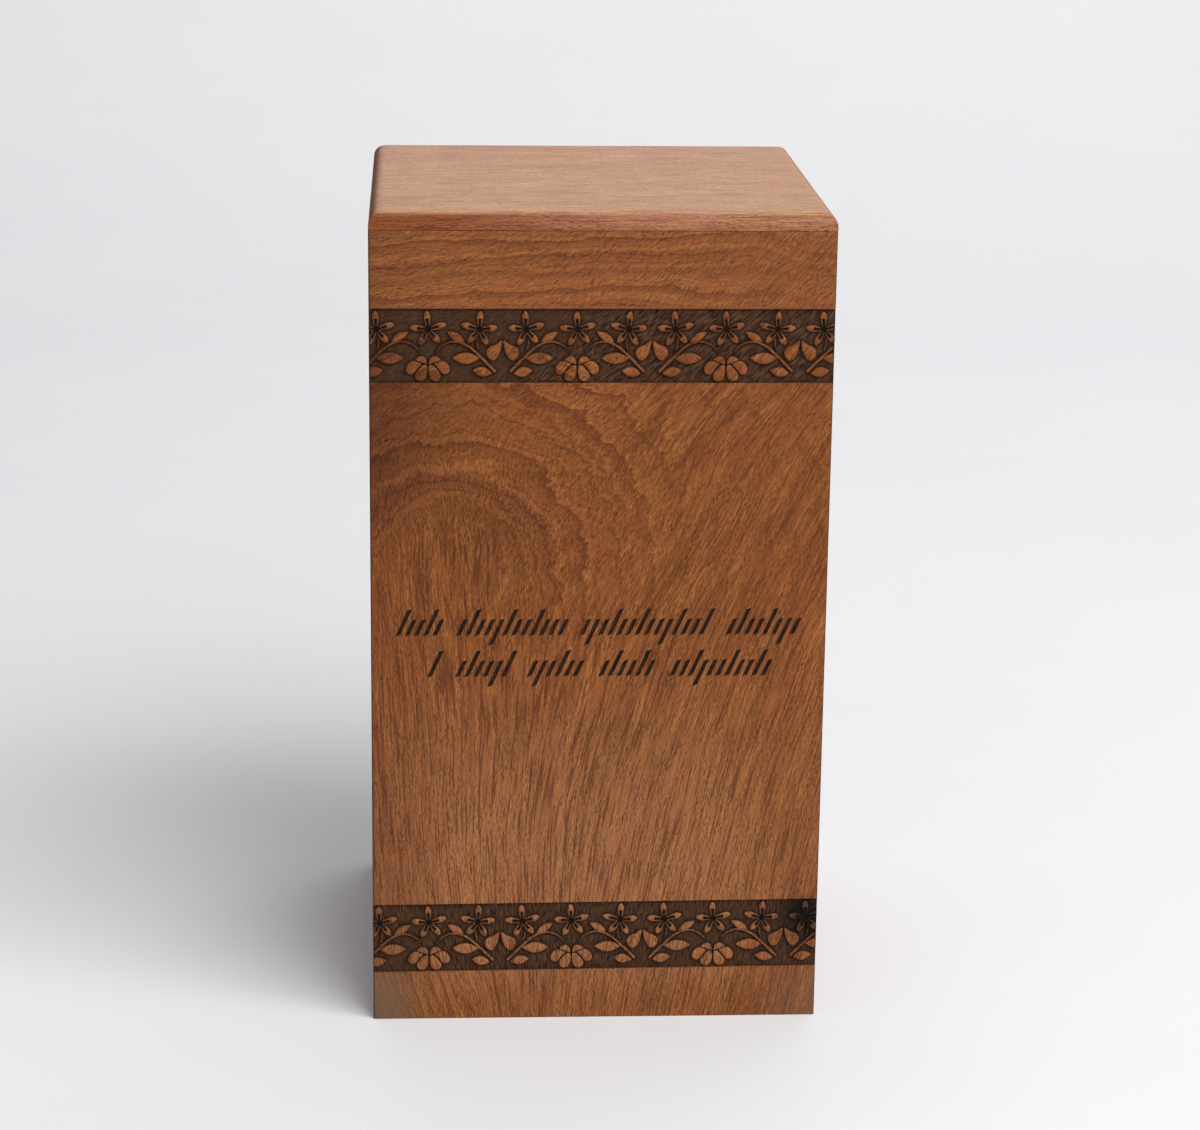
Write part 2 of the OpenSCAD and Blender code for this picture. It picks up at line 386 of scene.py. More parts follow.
@dataclass(frozen=True)
class MangoWood:
    """Mango board, planed, stained mid brown and wiped with satin lacquer.

    It gives the eye warm streaks along the fibres, dark open pores like short pencil dashes, faint
    growth-ring lines and a soft sheen. Where the carver scorched it, it turns matt and brown-black.
    """

    name: str
    # Stained wood, from open grain to dense grain.
    pale: str = "#965F30"
    body: str = "#7F4A22"
    deep: str = "#663616"
    # Stain pooled in the pores, and the dark end of a growth ring.
    pore: str = "#381C0B"
    late: str = "#502810"
    # A darker tint, wood drawn greyer, and paler wood for bare spots and for the painted sheen of the floor's
    # reflection.
    darker_tint: str = "#A69AA2"
    grey: str = "#665240"
    sheen_and_bare_wood: str = "#AA7A58"
    # The stain's hue drifts between these two.
    red: str = "#C8AFA0"
    gold: str = "#C4BA98"
    # Soot in the carving: black where it lies thickest and as painted shade in the deep corners, brown on the
    # ridges.
    black_soot_and_shade: str = "#0D0806"
    scorch_dark: str = "#1D120B"
    scorch_light: str = "#573823"
    # Satin lacquer over wood.
    roughness: float = 0.46
    roughness_spread: float = 0.05
    scorched_roughness: float = 0.85
    stained_roughness: float = 0.3
    specular: float = 0.16
    lacquer_ior: float = 1.48
    # How strongly each feature shows.
    pore_strength: float = 0.85
    ring_strength: float = 0.72
    vein_strength: float = 0.75
    hue_strength: float = 0.3
    # Noise layers.
    wander: Pattern = Pattern(24.0, 70.0, octaves=1.0, shift=3.1)
    bands: Pattern = Pattern(4.5, 60.0, octaves=2.0, shift=11.0)
    streaks: Pattern = Pattern(0.7, 17.0, octaves=2.0, shift=23.0)
    fibre: Pattern = Pattern(0.26, 3.2, octaves=2.0, shift=37.0)
    layers: Pattern = Pattern(2.4, 4.0, octaves=2.0, shift=41.0)
    crowding: Pattern = Pattern(4.0, 9.0, octaves=2.0, shift=59.0)
    broad_wave: Pattern = Pattern(14.0, 18.0, octaves=2.0, shift=67.0)
    small_wave: Pattern = Pattern(1.6, 2.2, octaves=2.0, shift=71.0)
    ridges: Pattern = Pattern(0.3, 3.5, octaves=2.0, shift=97.0)
    veins: Pattern = Pattern(0.5, 20.0, octaves=1.0, shift=131.0)
    hues: Pattern = Pattern(16.0, 48.0, octaves=1.0, shift=151.0)
    # How far fibres and rings stray from their course, in millimetres.
    fibre_sway: float = 2.5
    broad_sway: float = 7.0
    small_sway: float = 2.0
    # Share of the broad bands in the tone, of the ring layers where rings show, and of the fibres.
    band_share: float = 0.42
    layer_share: float = 0.75
    fibre_share: float = 0.34
    # Noise values between which one thing gives way to the next.
    deep_to_body: Pair = (0.39, 0.51)
    body_to_pale: Pair = (0.5, 0.62)
    vein_rise: Pair = (0.52, 0.63)
    hue_rise: Pair = (0.4, 0.6)
    ridge_rise: Pair = (0.32, 0.72)
    gloss_rise: Pair = (0.3, 0.7)
    # A growth ring is this wide. It darkens over its later half and ends in a thin line.
    ring_gap: float = 12.0
    ring_dusk: Pair = (0.5, 1.0)
    ring_dusk_strength: float = 0.5
    ring_line: Pair = (0.92, 0.97)
    # One pore stands in each cell, whose size comes with a shift of its own. Real pores are about
    # 0.2 mm wide. These are drawn at 0.3 to 0.4 mm, so that they show. A pore's half width and half
    # length are shares of its cell, and its rim is soft.
    pore_cells: tuple[Pair, Pair] = ((1.25, 5.0), (1.9, 17.0))
    pore_shape: Pair = (0.105, 0.6)
    pore_rim: Pair = (0.65, 1.1)
    crowd_rise: Pair = (0.3, 0.7)
    crowd_least: float = 0.25
    # Relief that the light catches, in millimetres, with the pores' and the burnt ridges' shares of it.
    relief: float = 0.1
    relief_strength: float = 0.5
    pore_sink: float = -0.5
    ridge_rise_share: float = 2.0

    def _dashes(self, tree: Tree, cell: float, shift: float) -> Socket:
        """Scatters short dashes that lie along the fibres.

        Args:
            tree: Node tree of the material.
            cell: Distance between two dashes.
            shift: Shift of this layer.

        Returns:
            The socket of a mask that is 1 on a dash.
        """
        add = partial(add_node, tree)
        plane = add("Attribute", "Vector", attribute_name="plane")
        heading = add("Attribute", "Vector", attribute_name="heading")
        scale, moved = (1 / cell, 1 / cell, 0), (shift, shift, 0)
        fitted = add("VectorMath", 0, {0: plane, 1: scale, 2: moved}, operation="MULTIPLY_ADD")
        centre = add("TexVoronoi", "Position", {"Vector": fitted, "Scale": 1.0}, voronoi_dimensions="2D")
        offset = add("VectorMath", 0, {0: fitted, 1: centre}, operation="SUBTRACT")
        along = add("VectorMath", "Value", {0: offset, 1: heading}, operation="DOT_PRODUCT")
        turned = add("VectorMath", 0, {0: offset, 1: heading}, operation="CROSS_PRODUCT")
        across = add("VectorMath", "Value", {0: turned}, operation="LENGTH")
        half_width, half_length = self.pore_shape
        wide = add("Math", 0, {0: across, 1: half_width}, operation="DIVIDE")
        long = add("Math", 0, {0: along, 1: half_length}, operation="DIVIDE")
        reach = add("VectorMath", "Value", {0: add("CombineXYZ", 0, {0: wide, 1: long})}, operation="LENGTH")
        return add("MapRange", 0, {**span(reach, self.pore_rim), "To Min": 1.0, "To Max": 0.0}, **SOFT)

    def _pores(self, tree: Tree, grain: Socket) -> Socket:
        """Adds the pores: short dark dashes, crowded in some places and rare in others.

        Args:
            tree: Node tree of the material.
            grain: Place along the undisturbed fibres.

        Returns:
            The socket of the pores' strength.
        """
        add = partial(add_node, tree)
        crowding = span(self.crowding.value(tree, grain), self.crowd_rise)
        crowd = add("MapRange", 0, {**crowding, "To Min": self.crowd_least})
        fine, coarse = (self._dashes(tree, cell, shift) for cell, shift in self.pore_cells)
        mark = add("Math", 0, {0: fine, 1: coarse}, operation="MAXIMUM")
        pored = add("Math", 0, {0: mark, 1: crowd}, operation="MULTIPLY")
        return add("Math", 0, {0: pored, 1: self.pore_strength}, operation="MULTIPLY")

    def _ring_place(self, tree: Tree, grain: Socket, rings: Socket) -> Socket:
        """Lets the growth rings wander across the fibres, broadly and in small waves.

        Args:
            tree: Node tree of the material.
            grain: Place along the undisturbed fibres.
            rings: Distance across the rings.

        Returns:
            The socket of the place across the wandering rings.
        """
        add = partial(add_node, tree)
        place = rings
        for pattern, sway in ((self.broad_wave, self.broad_sway), (self.small_wave, self.small_sway)):
            wave = add("MapRange", 0, {"Value": pattern.value(tree, grain), "To Min": -sway, "To Max": sway})
            place = add("Math", 0, {0: place, 1: wave}, operation="ADD")
        return place

    def _stained(self, tree: Tree, fibres: Socket, fibre: Socket, place: Socket, figure: Socket) -> Socket:
        """Adds the stained wood, which takes the stain in broad bands, narrow streaks and single fibres.

        Args:
            tree: Node tree of the material.
            fibres: Place along the wandering fibres.
            fibre: Noise of the single fibres.
            place: Place across the rings.
            figure: How clearly the rings show.

        Returns:
            The socket of the colour.
        """
        add = partial(add_node, tree)
        bands, streaks = self.bands.value(tree, fibres), self.streaks.value(tree, fibres)
        layered = self.layers.value(tree, add("CombineXYZ", 0, {0: place, 1: fibre}))
        layer_share = add("Math", 0, {0: figure, 1: self.layer_share}, operation="MULTIPLY")
        tone = add("Mix", 0, {FACTOR: self.band_share, VALUE_A: streaks, VALUE_B: bands})
        tone = add("Mix", 0, {FACTOR: layer_share, VALUE_A: tone, VALUE_B: layered})
        tone = add("Mix", 0, {FACTOR: self.fibre_share, VALUE_A: tone, VALUE_B: fibre})
        low = add("MapRange", 0, span(tone, self.deep_to_body), **SOFT)
        high = add("MapRange", 0, span(tone, self.body_to_pale), **SOFT)
        deep, body, pale = linear(self.deep), linear(self.body), linear(self.pale)
        wood = add("Mix", MIXED, {FACTOR: low, COLOUR_A: deep, COLOUR_B: body}, **COLOUR)
        return add("Mix", MIXED, {FACTOR: high, COLOUR_A: wood, COLOUR_B: pale}, **COLOUR)

    def _late_wood(self, tree: Tree, wood: Socket, fibres: Socket, place: Socket, figure: Socket) -> Socket:
        """Darkens the veins and the late part of each growth ring.

        Args:
            tree: Node tree of the material.
            wood: Colour so far.
            fibres: Place along the wandering fibres.
            place: Place across the rings.
            figure: How clearly the rings show.

        Returns:
            The socket of the new colour.
        """
        add = partial(add_node, tree)
        late = linear(self.late)
        # Veins are long dark streaks, here and there, where the rings don't show.
        vein = add("MapRange", 0, span(self.veins.value(tree, fibres), self.vein_rise), **SOFT)
        plain = add("MapRange", 0, {"Value": figure, "To Min": self.vein_strength, "To Max": 0.0})
        veined = add("Math", 0, {0: vein, 1: plain}, operation="MULTIPLY")
        wood = add("Mix", MIXED, {FACTOR: veined, COLOUR_A: wood, COLOUR_B: late}, **COLOUR)
        # Each ring darkens slowly and ends in a thin dark line.
        turns = add("Math", 0, {0: place, 1: self.ring_gap}, operation="DIVIDE")
        phase = add("Math", 0, {0: turns}, operation="FRACT")
        dusk = add("MapRange", 0, {**span(phase, self.ring_dusk), "To Max": self.ring_dusk_strength}, **SOFT)
        line = add("MapRange", 0, span(phase, self.ring_line), **SOFT)
        ringed = add("Math", 0, {0: dusk, 1: line}, operation="MAXIMUM")
        for share in (figure, self.ring_strength):
            ringed = add("Math", 0, {0: ringed, 1: share}, operation="MULTIPLY")
        return add("Mix", MIXED, {FACTOR: ringed, COLOUR_A: wood, COLOUR_B: late}, **COLOUR)

    def _scorched(self, tree: Tree, wood: Socket, ridges: Socket, scorch_and_shade: Socket) -> Socket:
        """Lays soot on the carving. Its ridges catch a little more light than its hollows.

        Args:
            tree: Node tree of the material.
            wood: Colour so far.
            ridges: Noise of the ridges that the burning leaves.
            scorch_and_shade: Scorching, where 1 is brown soot and 2 is black; above 1 it also carries painted
                shade.

        Returns:
            The socket of the new colour.
        """
        add = partial(add_node, tree)
        dark, light = linear(self.scorch_dark), linear(self.scorch_light)
        lit = add("MapRange", 0, span(ridges, self.ridge_rise), **SOFT)
        soot = add("Mix", MIXED, {FACTOR: lit, COLOUR_A: dark, COLOUR_B: light}, **COLOUR)
        colour = add("Mix", MIXED, {FACTOR: scorch_and_shade, COLOUR_A: wood, COLOUR_B: soot}, **COLOUR)
        black = add("MapRange", 0, span(scorch_and_shade, (1.0, 2.0)))
        inputs = {FACTOR: black, COLOUR_A: colour, COLOUR_B: linear(self.black_soot_and_shade)}
        return add("Mix", MIXED, inputs, **COLOUR)

    def build(self) -> bpy.types.Material:
        """Makes the material.

        Returns:
            A material that reads the vectors and scalars of a surface.
        """
        material = bpy.data.materials.new(self.name)
        material.use_nodes = True
        tree = material.node_tree
        tree.nodes.clear()
        add = partial(add_node, tree)
        grain = add("Attribute", "Vector", attribute_name="grain")
        scalars = [add("Attribute", "Fac", attribute_name=label) for label in SCALARS]
        rings, figure, scorch_and_shade, shade, stain, wear_and_sheen = scalars

        # The fibres wander a little from side to side on their way.
        wander, sway = self.wander.value(tree, grain), self.fibre_sway
        swayed = add("MapRange", 0, {"Value": wander, "To Min": -sway, "To Max": sway})
        aside = add("CombineXYZ", 0, {0: swayed})
        fibres = add("VectorMath", 0, {0: grain, 1: aside}, operation="ADD")
        fibre, ridges = self.fibre.value(tree, fibres), self.ridges.value(tree, fibres)
        place = self._ring_place(tree, grain, rings)
        pored = self._pores(tree, grain)

        colour = self._stained(tree, fibres, fibre, place, figure)
        # Paler where a fault bares the wood, and painted sheen: the floor's reflection drawn as paler wood on
        # the front's lower half.
        inputs = {FACTOR: wear_and_sheen, COLOUR_A: colour, COLOUR_B: linear(self.sheen_and_bare_wood)}
        colour = add("Mix", MIXED, inputs, **COLOUR)
        colour = self._late_wood(tree, colour, fibres, place, figure)
        colour = add("Mix", MIXED, {FACTOR: pored, COLOUR_A: colour, COLOUR_B: linear(self.pore)}, **COLOUR)
        hue = add("MapRange", 0, span(self.hues.value(tree, fibres), self.hue_rise), **SOFT)
        inputs = {FACTOR: hue, COLOUR_A: linear(self.red), COLOUR_B: linear(self.gold)}
        tint = add("Mix", MIXED, inputs, **COLOUR)
        inputs = {FACTOR: self.hue_strength, COLOUR_A: colour, COLOUR_B: tint}
        colour = add("Mix", MIXED, inputs, blend_type="OVERLAY", **COLOUR)
        inputs = {FACTOR: stain, COLOUR_A: colour, COLOUR_B: linear(self.darker_tint)}
        colour = add("Mix", MIXED, inputs, blend_type="MULTIPLY", **COLOUR)
        colour = add("Mix", MIXED, {FACTOR: shade, COLOUR_A: colour, COLOUR_B: linear(self.grey)}, **COLOUR)
        # The soot also carries painted shade: ground drawn blacker round the shapes and under the bands'
        # upper edges.
        colour = self._scorched(tree, colour, ridges, scorch_and_shade)

        sunk = add("Math", 0, {0: pored, 1: self.pore_sink}, operation="MULTIPLY")
        burnt = add("Math", 0, {0: ridges, 1: scorch_and_shade}, operation="MULTIPLY")
        raised = add("Math", 0, {0: burnt, 1: self.ridge_rise_share}, operation="MULTIPLY")
        height = add("Math", 0, {0: sunk, 1: fibre}, operation="ADD")
        height = add("Math", 0, {0: height, 1: raised}, operation="ADD")
        inputs = {"Strength": self.relief_strength, "Distance": self.relief * MM, "Height": height}
        bump = add("Bump", 0, inputs)
        # Soot is matt, and edges that drink the lacquer shine less than faces.
        low, high = self.roughness - self.roughness_spread, self.roughness + self.roughness_spread
        gloss = add("MapRange", 0, {**span(fibre, self.gloss_rise), "To Min": low, "To Max": high})
        matt = add("Mix", 0, {FACTOR: scorch_and_shade, VALUE_A: gloss, VALUE_B: self.scorched_roughness})
        drunk = add("Math", 0, {0: stain, 1: self.stained_roughness}, operation="MULTIPLY")
        matt = add("Math", 0, {0: drunk, 1: matt}, operation="ADD")
        inputs = {"Base Color": colour, "Roughness": matt, "Normal": bump}
        inputs |= {"IOR": self.lacquer_ior, "Specular IOR Level": self.specular}
        add("OutputMaterial", 0, {0: add("BsdfPrincipled", 0, inputs)})
        return material


# ---------------------------------------------------------------- grain of the front


@dataclass(frozen=True)
class FrontGrain:
    """How the fibres and the growth rings run over the front board.

    The fibres stand upright at the foot, lean right on their way up and lie almost level at the top left.
    The rings arch over a point on the left, and cross the strip above the upper band almost level.
    """

    # The lean is how far the fibres run right for each millimetre up: its value at the foot, and then
    # what it gains between two heights. It passes from the left one to the right one over the middle.
    left_lean: float = -0.3
    left_turns: tuple[Turn, ...] = ((0.24, 5, 60), (1.6, 196, 234), (0.9, 250, 272))
    right_lean: float = 0.18
    right_turns: tuple[Turn, ...] = ((0.12, 50, 115), (0.2, 120, 185), (0.25, 198, 228), (0.2, 240, 270))
    middle: Pair = (-62, 14)
    # Step down the fibres, and where they dive into the board and how far that shortens them.
    march: float = 3.0
    dive_place: Pair = (-30, 205)
    dive_reach: Pair = (40, 36)
    dive_strength: float = 1.3
    # The strip above the upper band, with its fibres' spread and shift.
    strip: float = 259.3
    strip_spread: float = 0.6
    strip_shift: float = 400.0
    # Middle of the ring arches, and how little they show below it.
    arch: Pair = (-52, 165)
    under_arch: float = 0.12
    heart: Pair = (14, 30)
    # Rings of the strip: millimetres of wood across them for each one up, their fall at the right end,
    # their tilt, and the height and length of their waves.
    strip_rate: float = 2.0
    strip_fall: Turn = (7, 50, 74)
    strip_tilt: float = 0.03
    strip_waves: Pair = (3, 60)
    # Where the figure shows.
    figure_least: float = 0.12
    figure_rise: Pair = (128, 172)
    figure_fade: Turn = (0.75, -8, 30)
    strip_figure: float = 1.1
    strip_fade: Turn = (0.6, 20, 70)

    def lean(self, x: Array, z: Array) -> Array:
        """Gives how the fibres lean.

        Args:
            x: Places across the board.
            z: Places up the board.

        Returns:
            How far they run to the right there for each millimetre up.
        """
        left = self.left_lean + sum(gain(z, turn) for turn in self.left_turns)
        right = self.right_lean + sum(gain(z, turn) for turn in self.right_turns)
        share = ramp(x, *self.middle)
        return right * share + left * (1 - share)

    def heading(self, x: Array, z: Array) -> Array:
        """Gives the fibres' direction in the board's plane.

        Args:
            x: Places across the board.
            z: Places up the board.

        Returns:
            Vectors one unit long.
        """
        slope = self.lean(x, z)
        direction = np.column_stack([slope, np.ones_like(slope), np.zeros_like(slope)])
        return direction / np.hypot(slope, 1)[:, None]

    def along(self, x: Array, z: Array) -> tuple[Array, Array]:
        """Follows the fibres from each place down to the foot of the board, or of the strip above the bands.

        Args:
            x: Places across the board.
            z: Places up the board.

        Returns:
            Where the fibre starts there, and its length from there.
        """
        foot = np.where(z > self.strip, self.strip, 0.0)
        start, length, height = x.copy(), np.zeros_like(x), z.copy()
        for _ in range(int(math.ceil(z.max() / self.march))):
            step = np.minimum(self.march, np.maximum(height - foot, 0))
            slope = self.lean(start, height)
            start -= slope * step
            # Fibres that dive into the board at the swirl show as shorter dashes.
            aside = (start - self.dive_place[0]) / self.dive_reach[0]
            above = (height - self.dive_place[1]) / self.dive_reach[1]
            dive = 1 + self.dive_strength * np.exp(-(aside**2) - above**2)
            length += step * np.sqrt(1 + slope**2) * dive
            height -= step
        # Fibres that lie low are packed closer, so the strip's are spread again.
        return np.where(z > self.strip, self.strip_spread * start + self.strip_shift, start), length

    def rings(self, x: Array, z: Array) -> Array:
        """Measures across the growth rings.

        Args:
            x: Places across the board.
            z: Places up the board.

        Returns:
            Distance from the arch's middle, or in the strip above the bands from its foot.
        """
        rise = z - self.arch[1]
        rise = np.where(rise > 0, rise, self.under_arch * rise)
        arched = np.hypot(x - self.arch[0], rise)
        height, length = self.strip_waves
        level = z - self.strip + gain(x, self.strip_fall) - self.strip_tilt * x
        level = self.strip_rate * level + height * waves(x, z, length)
        return np.where(z > self.strip, level, arched)

    def figure(self, x: Array, z: Array) -> Array:
        """Gives how clearly the growth rings show.

        Args:
            x: Places across the board.
            z: Places up the board.

        Returns:
            0 where they don't show, up to about 1.
        """
        panel = ramp(z, *self.figure_rise) * (1 - gain(x, self.figure_fade))
        heart = ramp(np.hypot(x - self.arch[0], z - self.arch[1]), *self.heart)
        panel = self.figure_least + (1 - self.figure_least) * panel * heart
        strip = self.strip_figure - gain(x, self.strip_fade)
        return np.where(z > self.strip, strip, panel)


# ---------------------------------------------------------------- carving


class Motif(Enum):
    """Kinds of shape that stand in a carved band."""

    PETAL = "petal"
    LEAF = "leaf"
    VINE = "vine"


@dataclass(frozen=True)
class Shape:
    """How a kind of carved shape is rounded, in millimetres from the board's face."""

    edge: float
    crown: float
    shoulder: float
    spacing: float


SHAPES = {
    Motif.PETAL: Shape(edge=-0.42, crown=-0.04, shoulder=0.75, spacing=0.3),
    Motif.LEAF: Shape(edge=-0.28, crown=-0.02, shoulder=0.6, spacing=0.42),
    Motif.VINE: Shape(edge=-0.5, crown=-0.16, shoulder=0.42, spacing=0.3),
}


@dataclass(frozen=True)
class Carving:
    """One carved shape with its outline, and the gouge cut that runs up a petal."""

    motif: Motif
    outline: Array
    cut: tuple[Array, Array] | None = None

    def placed(self, matrix: Array, shift: Array) -> "Carving":
        """Gives the same shape turned by a matrix and then moved."""
        cut = None if self.cut is None else tuple(p @ matrix.T + shift for p in self.cut)
        return Carving(self.motif, self.outline @ matrix.T + shift, cut)


@dataclass(frozen=True)
class FlowerRepeat:
    """One repeat of the flower pattern, drawn round the axis of a low flower."""

    half_width: float = 25.4
    star: Pair = (17.5, 18.55)
    petal_angles: tuple[float, ...] = (93, 16, -49, -117, 174)
    petal_lengths: tuple[float, ...] = (6.3, 6.4, 6.0, 6.0, 6.1)
    petal_width: float = 2.12
    eye: float = 0.6
    step: float = 0.33
    cut_share: float = 0.6
    # Share of the width at places along a petal and along a leaf, from the base to the tip.
    petal_form: tuple[Pair, ...] = (
        (0.1, 0.52), (0.3, 0.72), (0.5, 0.94), (0.7, 1.0), (0.87, 0.7), (0.97, 0.32),
    )
    leaf_form: tuple[Pair, ...] = ((0.12, 0.4), (0.3, 0.83), (0.48, 1.0), (0.68, 0.84), (0.87, 0.42))
    # Pointed leaves: base, tip, width and fullness of the lower side.
    leaves: tuple[tuple[Pair, Pair, float, float], ...] = (
        ((12.4, 14.3), (6.6, 17.7), 2.5, 1.0),
        ((17.5, 8.6), (8.2, 8.7), 4.1, 0.9),
        ((21.7, 3.3), (15.2, 4.4), 3.3, 1.0),
    )
    round_leaf: tuple[Pair, ...] = (
        (25.05, 14.7), (23.2, 13.4), (21.1, 12.5), (20.0, 11.3), (20.0, 9.8),
        (20.9, 8.3), (22.0, 7.8), (23.2, 8.5), (24.4, 10.6), (24.95, 12.7),
    )
    # Lines with their widths.
    vine: tuple[Place, ...] = (
        (2.6, 10.5, 0.3), (3.6, 11.8, 0.45), (5.0, 13.1, 0.55), (7.2, 14.1, 0.65), (9.0, 14.35, 0.75),
        (10.7, 14.1, 0.85), (12.5, 13.4, 0.9), (14.3, 12.3, 0.9), (16.1, 10.7, 0.92), (17.9, 8.95, 0.98),
        (19.7, 7.2, 1.05), (21.5, 5.3, 1.12), (23.0, 3.75, 1.1),
    )
    stalk: tuple[Place, ...] = ((16.6, 15.4, 0.4), (16.7, 13.4, 0.55), (17.3, 11.3, 0.5))
    # Half of a low flower: its upper, side and lower petals.
    low_petals: tuple[tuple[Pair, ...], ...] = (
        ((0.45, 6.6), (0.6, 8.0), (1.5, 9.15), (2.9, 9.1), (4.1, 8.3), (4.3, 7.95), (3.1, 7.45), (1.7, 6.9)),
        ((2.2, 6.55), (3.3, 7.1), (4.7, 7.6), (6.3, 6.95), (7.3, 5.5), (7.35, 4.1), (6.5, 3.15), (5.3, 3.05),
         (4.45, 3.75), (3.6, 5.0)),
        ((0.4, 5.9), (1.1, 6.2), (1.9, 5.95), (3.1, 4.65), (4.15, 3.3), (4.35, 1.95), (3.7, 0.95), (2.5, 0.6),
         (1.2, 1.15), (0.45, 2.6), (0.25, 4.4)),
    )

    def _star(self) -> list[Carving]:
        """Draws a star flower round the origin.

        Returns:
            Its petals, each with its gouge cut.
        """
        made = []
        for angle, length in zip(self.petal_angles, self.petal_lengths):
            heading = np.array([math.cos(math.radians(angle)), math.sin(math.radians(angle))])
            base, tip = heading * self.eye, heading * length
            outline = spindle(tuple(base), tuple(tip), self.petal_width, self.petal_form, 1.0, self.step)
            made.append(Carving(Motif.PETAL, outline, (base, heading * length * self.cut_share)))
        return made

    def _half(self) -> list[Carving]:
        """Draws what stands right of the axis, as far as the middle of the next pair of leaves.

        Returns:
            The shapes, with x from the axis and y up from the band's lower edge.
        """
        flip = np.diag([-1.0, 1.0])
        made = [petal.placed(flip, np.array(self.star)) for petal in self._star()]
        for base, tip, width, belly in self.leaves:
            made.append(Carving(Motif.LEAF, spindle(base, tip, width, self.leaf_form, belly, self.step)))
        made.append(Carving(Motif.LEAF, smooth(self.round_leaf, self.step)))
        made += [Carving(Motif.LEAF, smooth(petal, self.step)) for petal in self.low_petals]
        made += [Carving(Motif.VINE, ribbon(line, self.step)) for line in (self.vine, self.stalk)]
        return made

    def carvings(self) -> list[Carving]:
        """Draws the whole repeat.

        Returns:
            Its shapes, with x from the axis and y up from the band's lower edge.
        """
        same, flip = np.eye(2), np.diag([-1.0, 1.0])
        half = self._half()
        middle = [petal.placed(same, np.array([0.0, self.star[1]])) for petal in self._star()]
        return middle + half + [shape.placed(flip, np.zeros(2)) for shape in half]


@dataclass(frozen=True)
class FlowerBand:
    """A sunk band of flowers that runs across the front board."""

    foot: float
    height: float = 25.8
    depth: float = 1.1
    tilt: float = 0.0
    axis_x: float = -8.6
    # How far its walls and those of the shapes on it lean out over their height.
    wall_run: float = 0.14
    shape_wall_run: float = 0.126
    ground_step: float = 0.62

    def turn(self) -> Array:
        """Gives the matrix that turns the band's own directions into the board's."""
        angle = math.radians(self.tilt)
        return np.array([[math.cos(angle), -math.sin(angle)], [math.sin(angle), math.cos(angle)]])

    def to_board(self, points: Array) -> Array:
        """Moves points from the band's own plane to the board's."""
        return points @ self.turn().T + [0.0, self.foot]

    def from_board(self, points: Array) -> Array:
        """Moves points from the board's plane to the band's own."""
        return (points - [0.0, self.foot]) @ self.turn()

    def carvings(self, repeat: FlowerRepeat, half_board: float) -> list[Carving]:
        """Repeats the pattern along the board.

        Args:
            repeat: The pattern.
            half_board: Half of the board's width.

        Returns:
            Shapes in the board's plane.
        """
        drawn = repeat.carvings()
        pitch = 2 * repeat.half_width
        reach = half_board + repeat.half_width
        first = math.ceil((-reach - self.axis_x) / pitch)
        last = math.floor((reach - self.axis_x) / pitch)
        made = []
        for i in range(first, last + 1):
            centre = self.axis_x + i * pitch
            for shape in drawn:
                moved = shape.placed(np.eye(2), np.array([centre, 0.0]))
                if np.abs(moved.outline[:, 0]).min() < half_board:
                    made.append(moved.placed(self.turn(), np.array([0.0, self.foot])))
        return made


@dataclass(frozen=True)
class StrokeRows:
    """Two rows of slanted pen-like strokes, cut where an inscription would be. They aren't letters."""

    top: float = 143.4
    pitch: float = 15.0
    # Each row's margin at both ends, and the shares of its width that its groups of strokes take.
    rows: tuple[tuple[float, tuple[float, ...]], ...] = ((8.4, (17, 39, 47, 27)), (19.4, (6, 22, 22, 22, 37)))
    group_gap: float = 4.0
    stroke_pitch: float = 3.2
    stroke_width: float = 1.8
    nib_rise: float = 0.3
    short: float = 5.8
    # Some strokes reach further up or down. Each rule has the factors of the stroke's and the group's
    # number, the length of the cycle that they count through, and the turns of it that reach further.
    extra: float = 3.6
    up_rule: tuple[int, int, int, tuple[int, ...]] = (5, 3, 7, (0, 1))
    down_rule: tuple[int, int, int, tuple[int, ...]] = (3, 1, 8, (5,))
    lean: float = 24.0
    depth: float = 0.6
    wall_slope: float = 2.0
    touch: float = 0.02
    side_steps: tuple[float, ...] = (0.4, 0.5, 0.4, 0.5)

    def _reach(self, rule: tuple[int, int, int, tuple[int, ...]], stroke: int, group: int) -> float:
        """Gives how much further a stroke reaches by a rule."""
        by_stroke, by_group, length, turns = rule
        return self.extra if (by_stroke * stroke + by_group * group) % length in turns else 0.0

    def outlines(self, half_board: float) -> list[Array]:
        """Draws the strokes.

        Args:
            half_board: Half of the board's width.

        Returns:
            Closed outlines in the board's plane.
        """
        made = []
        slant = np.array([math.tan(math.radians(self.lean)), 1.0])
        nib = self.stroke_width * np.array([1.0, self.nib_rise])
        for row, (margin, groups) in enumerate(self.rows):
            width = 2 * (half_board - margin)
            share = (width - (len(groups) - 1) * self.group_gap) / sum(groups)
            for g, group in enumerate(groups):
                start = -width / 2 + sum(groups[:g]) * share + g * self.group_gap
                for i in range(max(1, int(group * share / self.stroke_pitch))):
                    above, below = self._reach(self.up_rule, i, g), self._reach(self.down_rule, i, g)
                    foot = np.array([start + i * self.stroke_pitch, self.top - row * self.pitch])
                    low, high = foot - below * slant, foot + (self.short + above) * slant
                    corners = (low, low + nib, high + nib, high, low)
                    sides = zip(corners, corners[1:], self.side_steps)
                    made.append(np.vstack([smooth([a, b], step, closed=False)[:-1] for a, b, step in sides]))
        return made


@dataclass(frozen=True)
class Blemish:
    """A small fault on the front: a spindle-shaped mark with its depth, scorching and paleness."""

    start: Pair
    end: Pair
    width: float
    depth: float
    scorch_and_shade: float = 0.0
    wear_and_sheen: float = 0.0
    form: tuple[Pair, ...] = ((0.2, 0.9), (0.5, 1.0), (0.8, 0.9))
    step: float = 0.4
    wall: float = 0.1

    def outline(self) -> Array:
        """Draws the mark in the board's plane."""
        return spindle(self.start, self.end, self.width, self.form, 1.0, self.step)


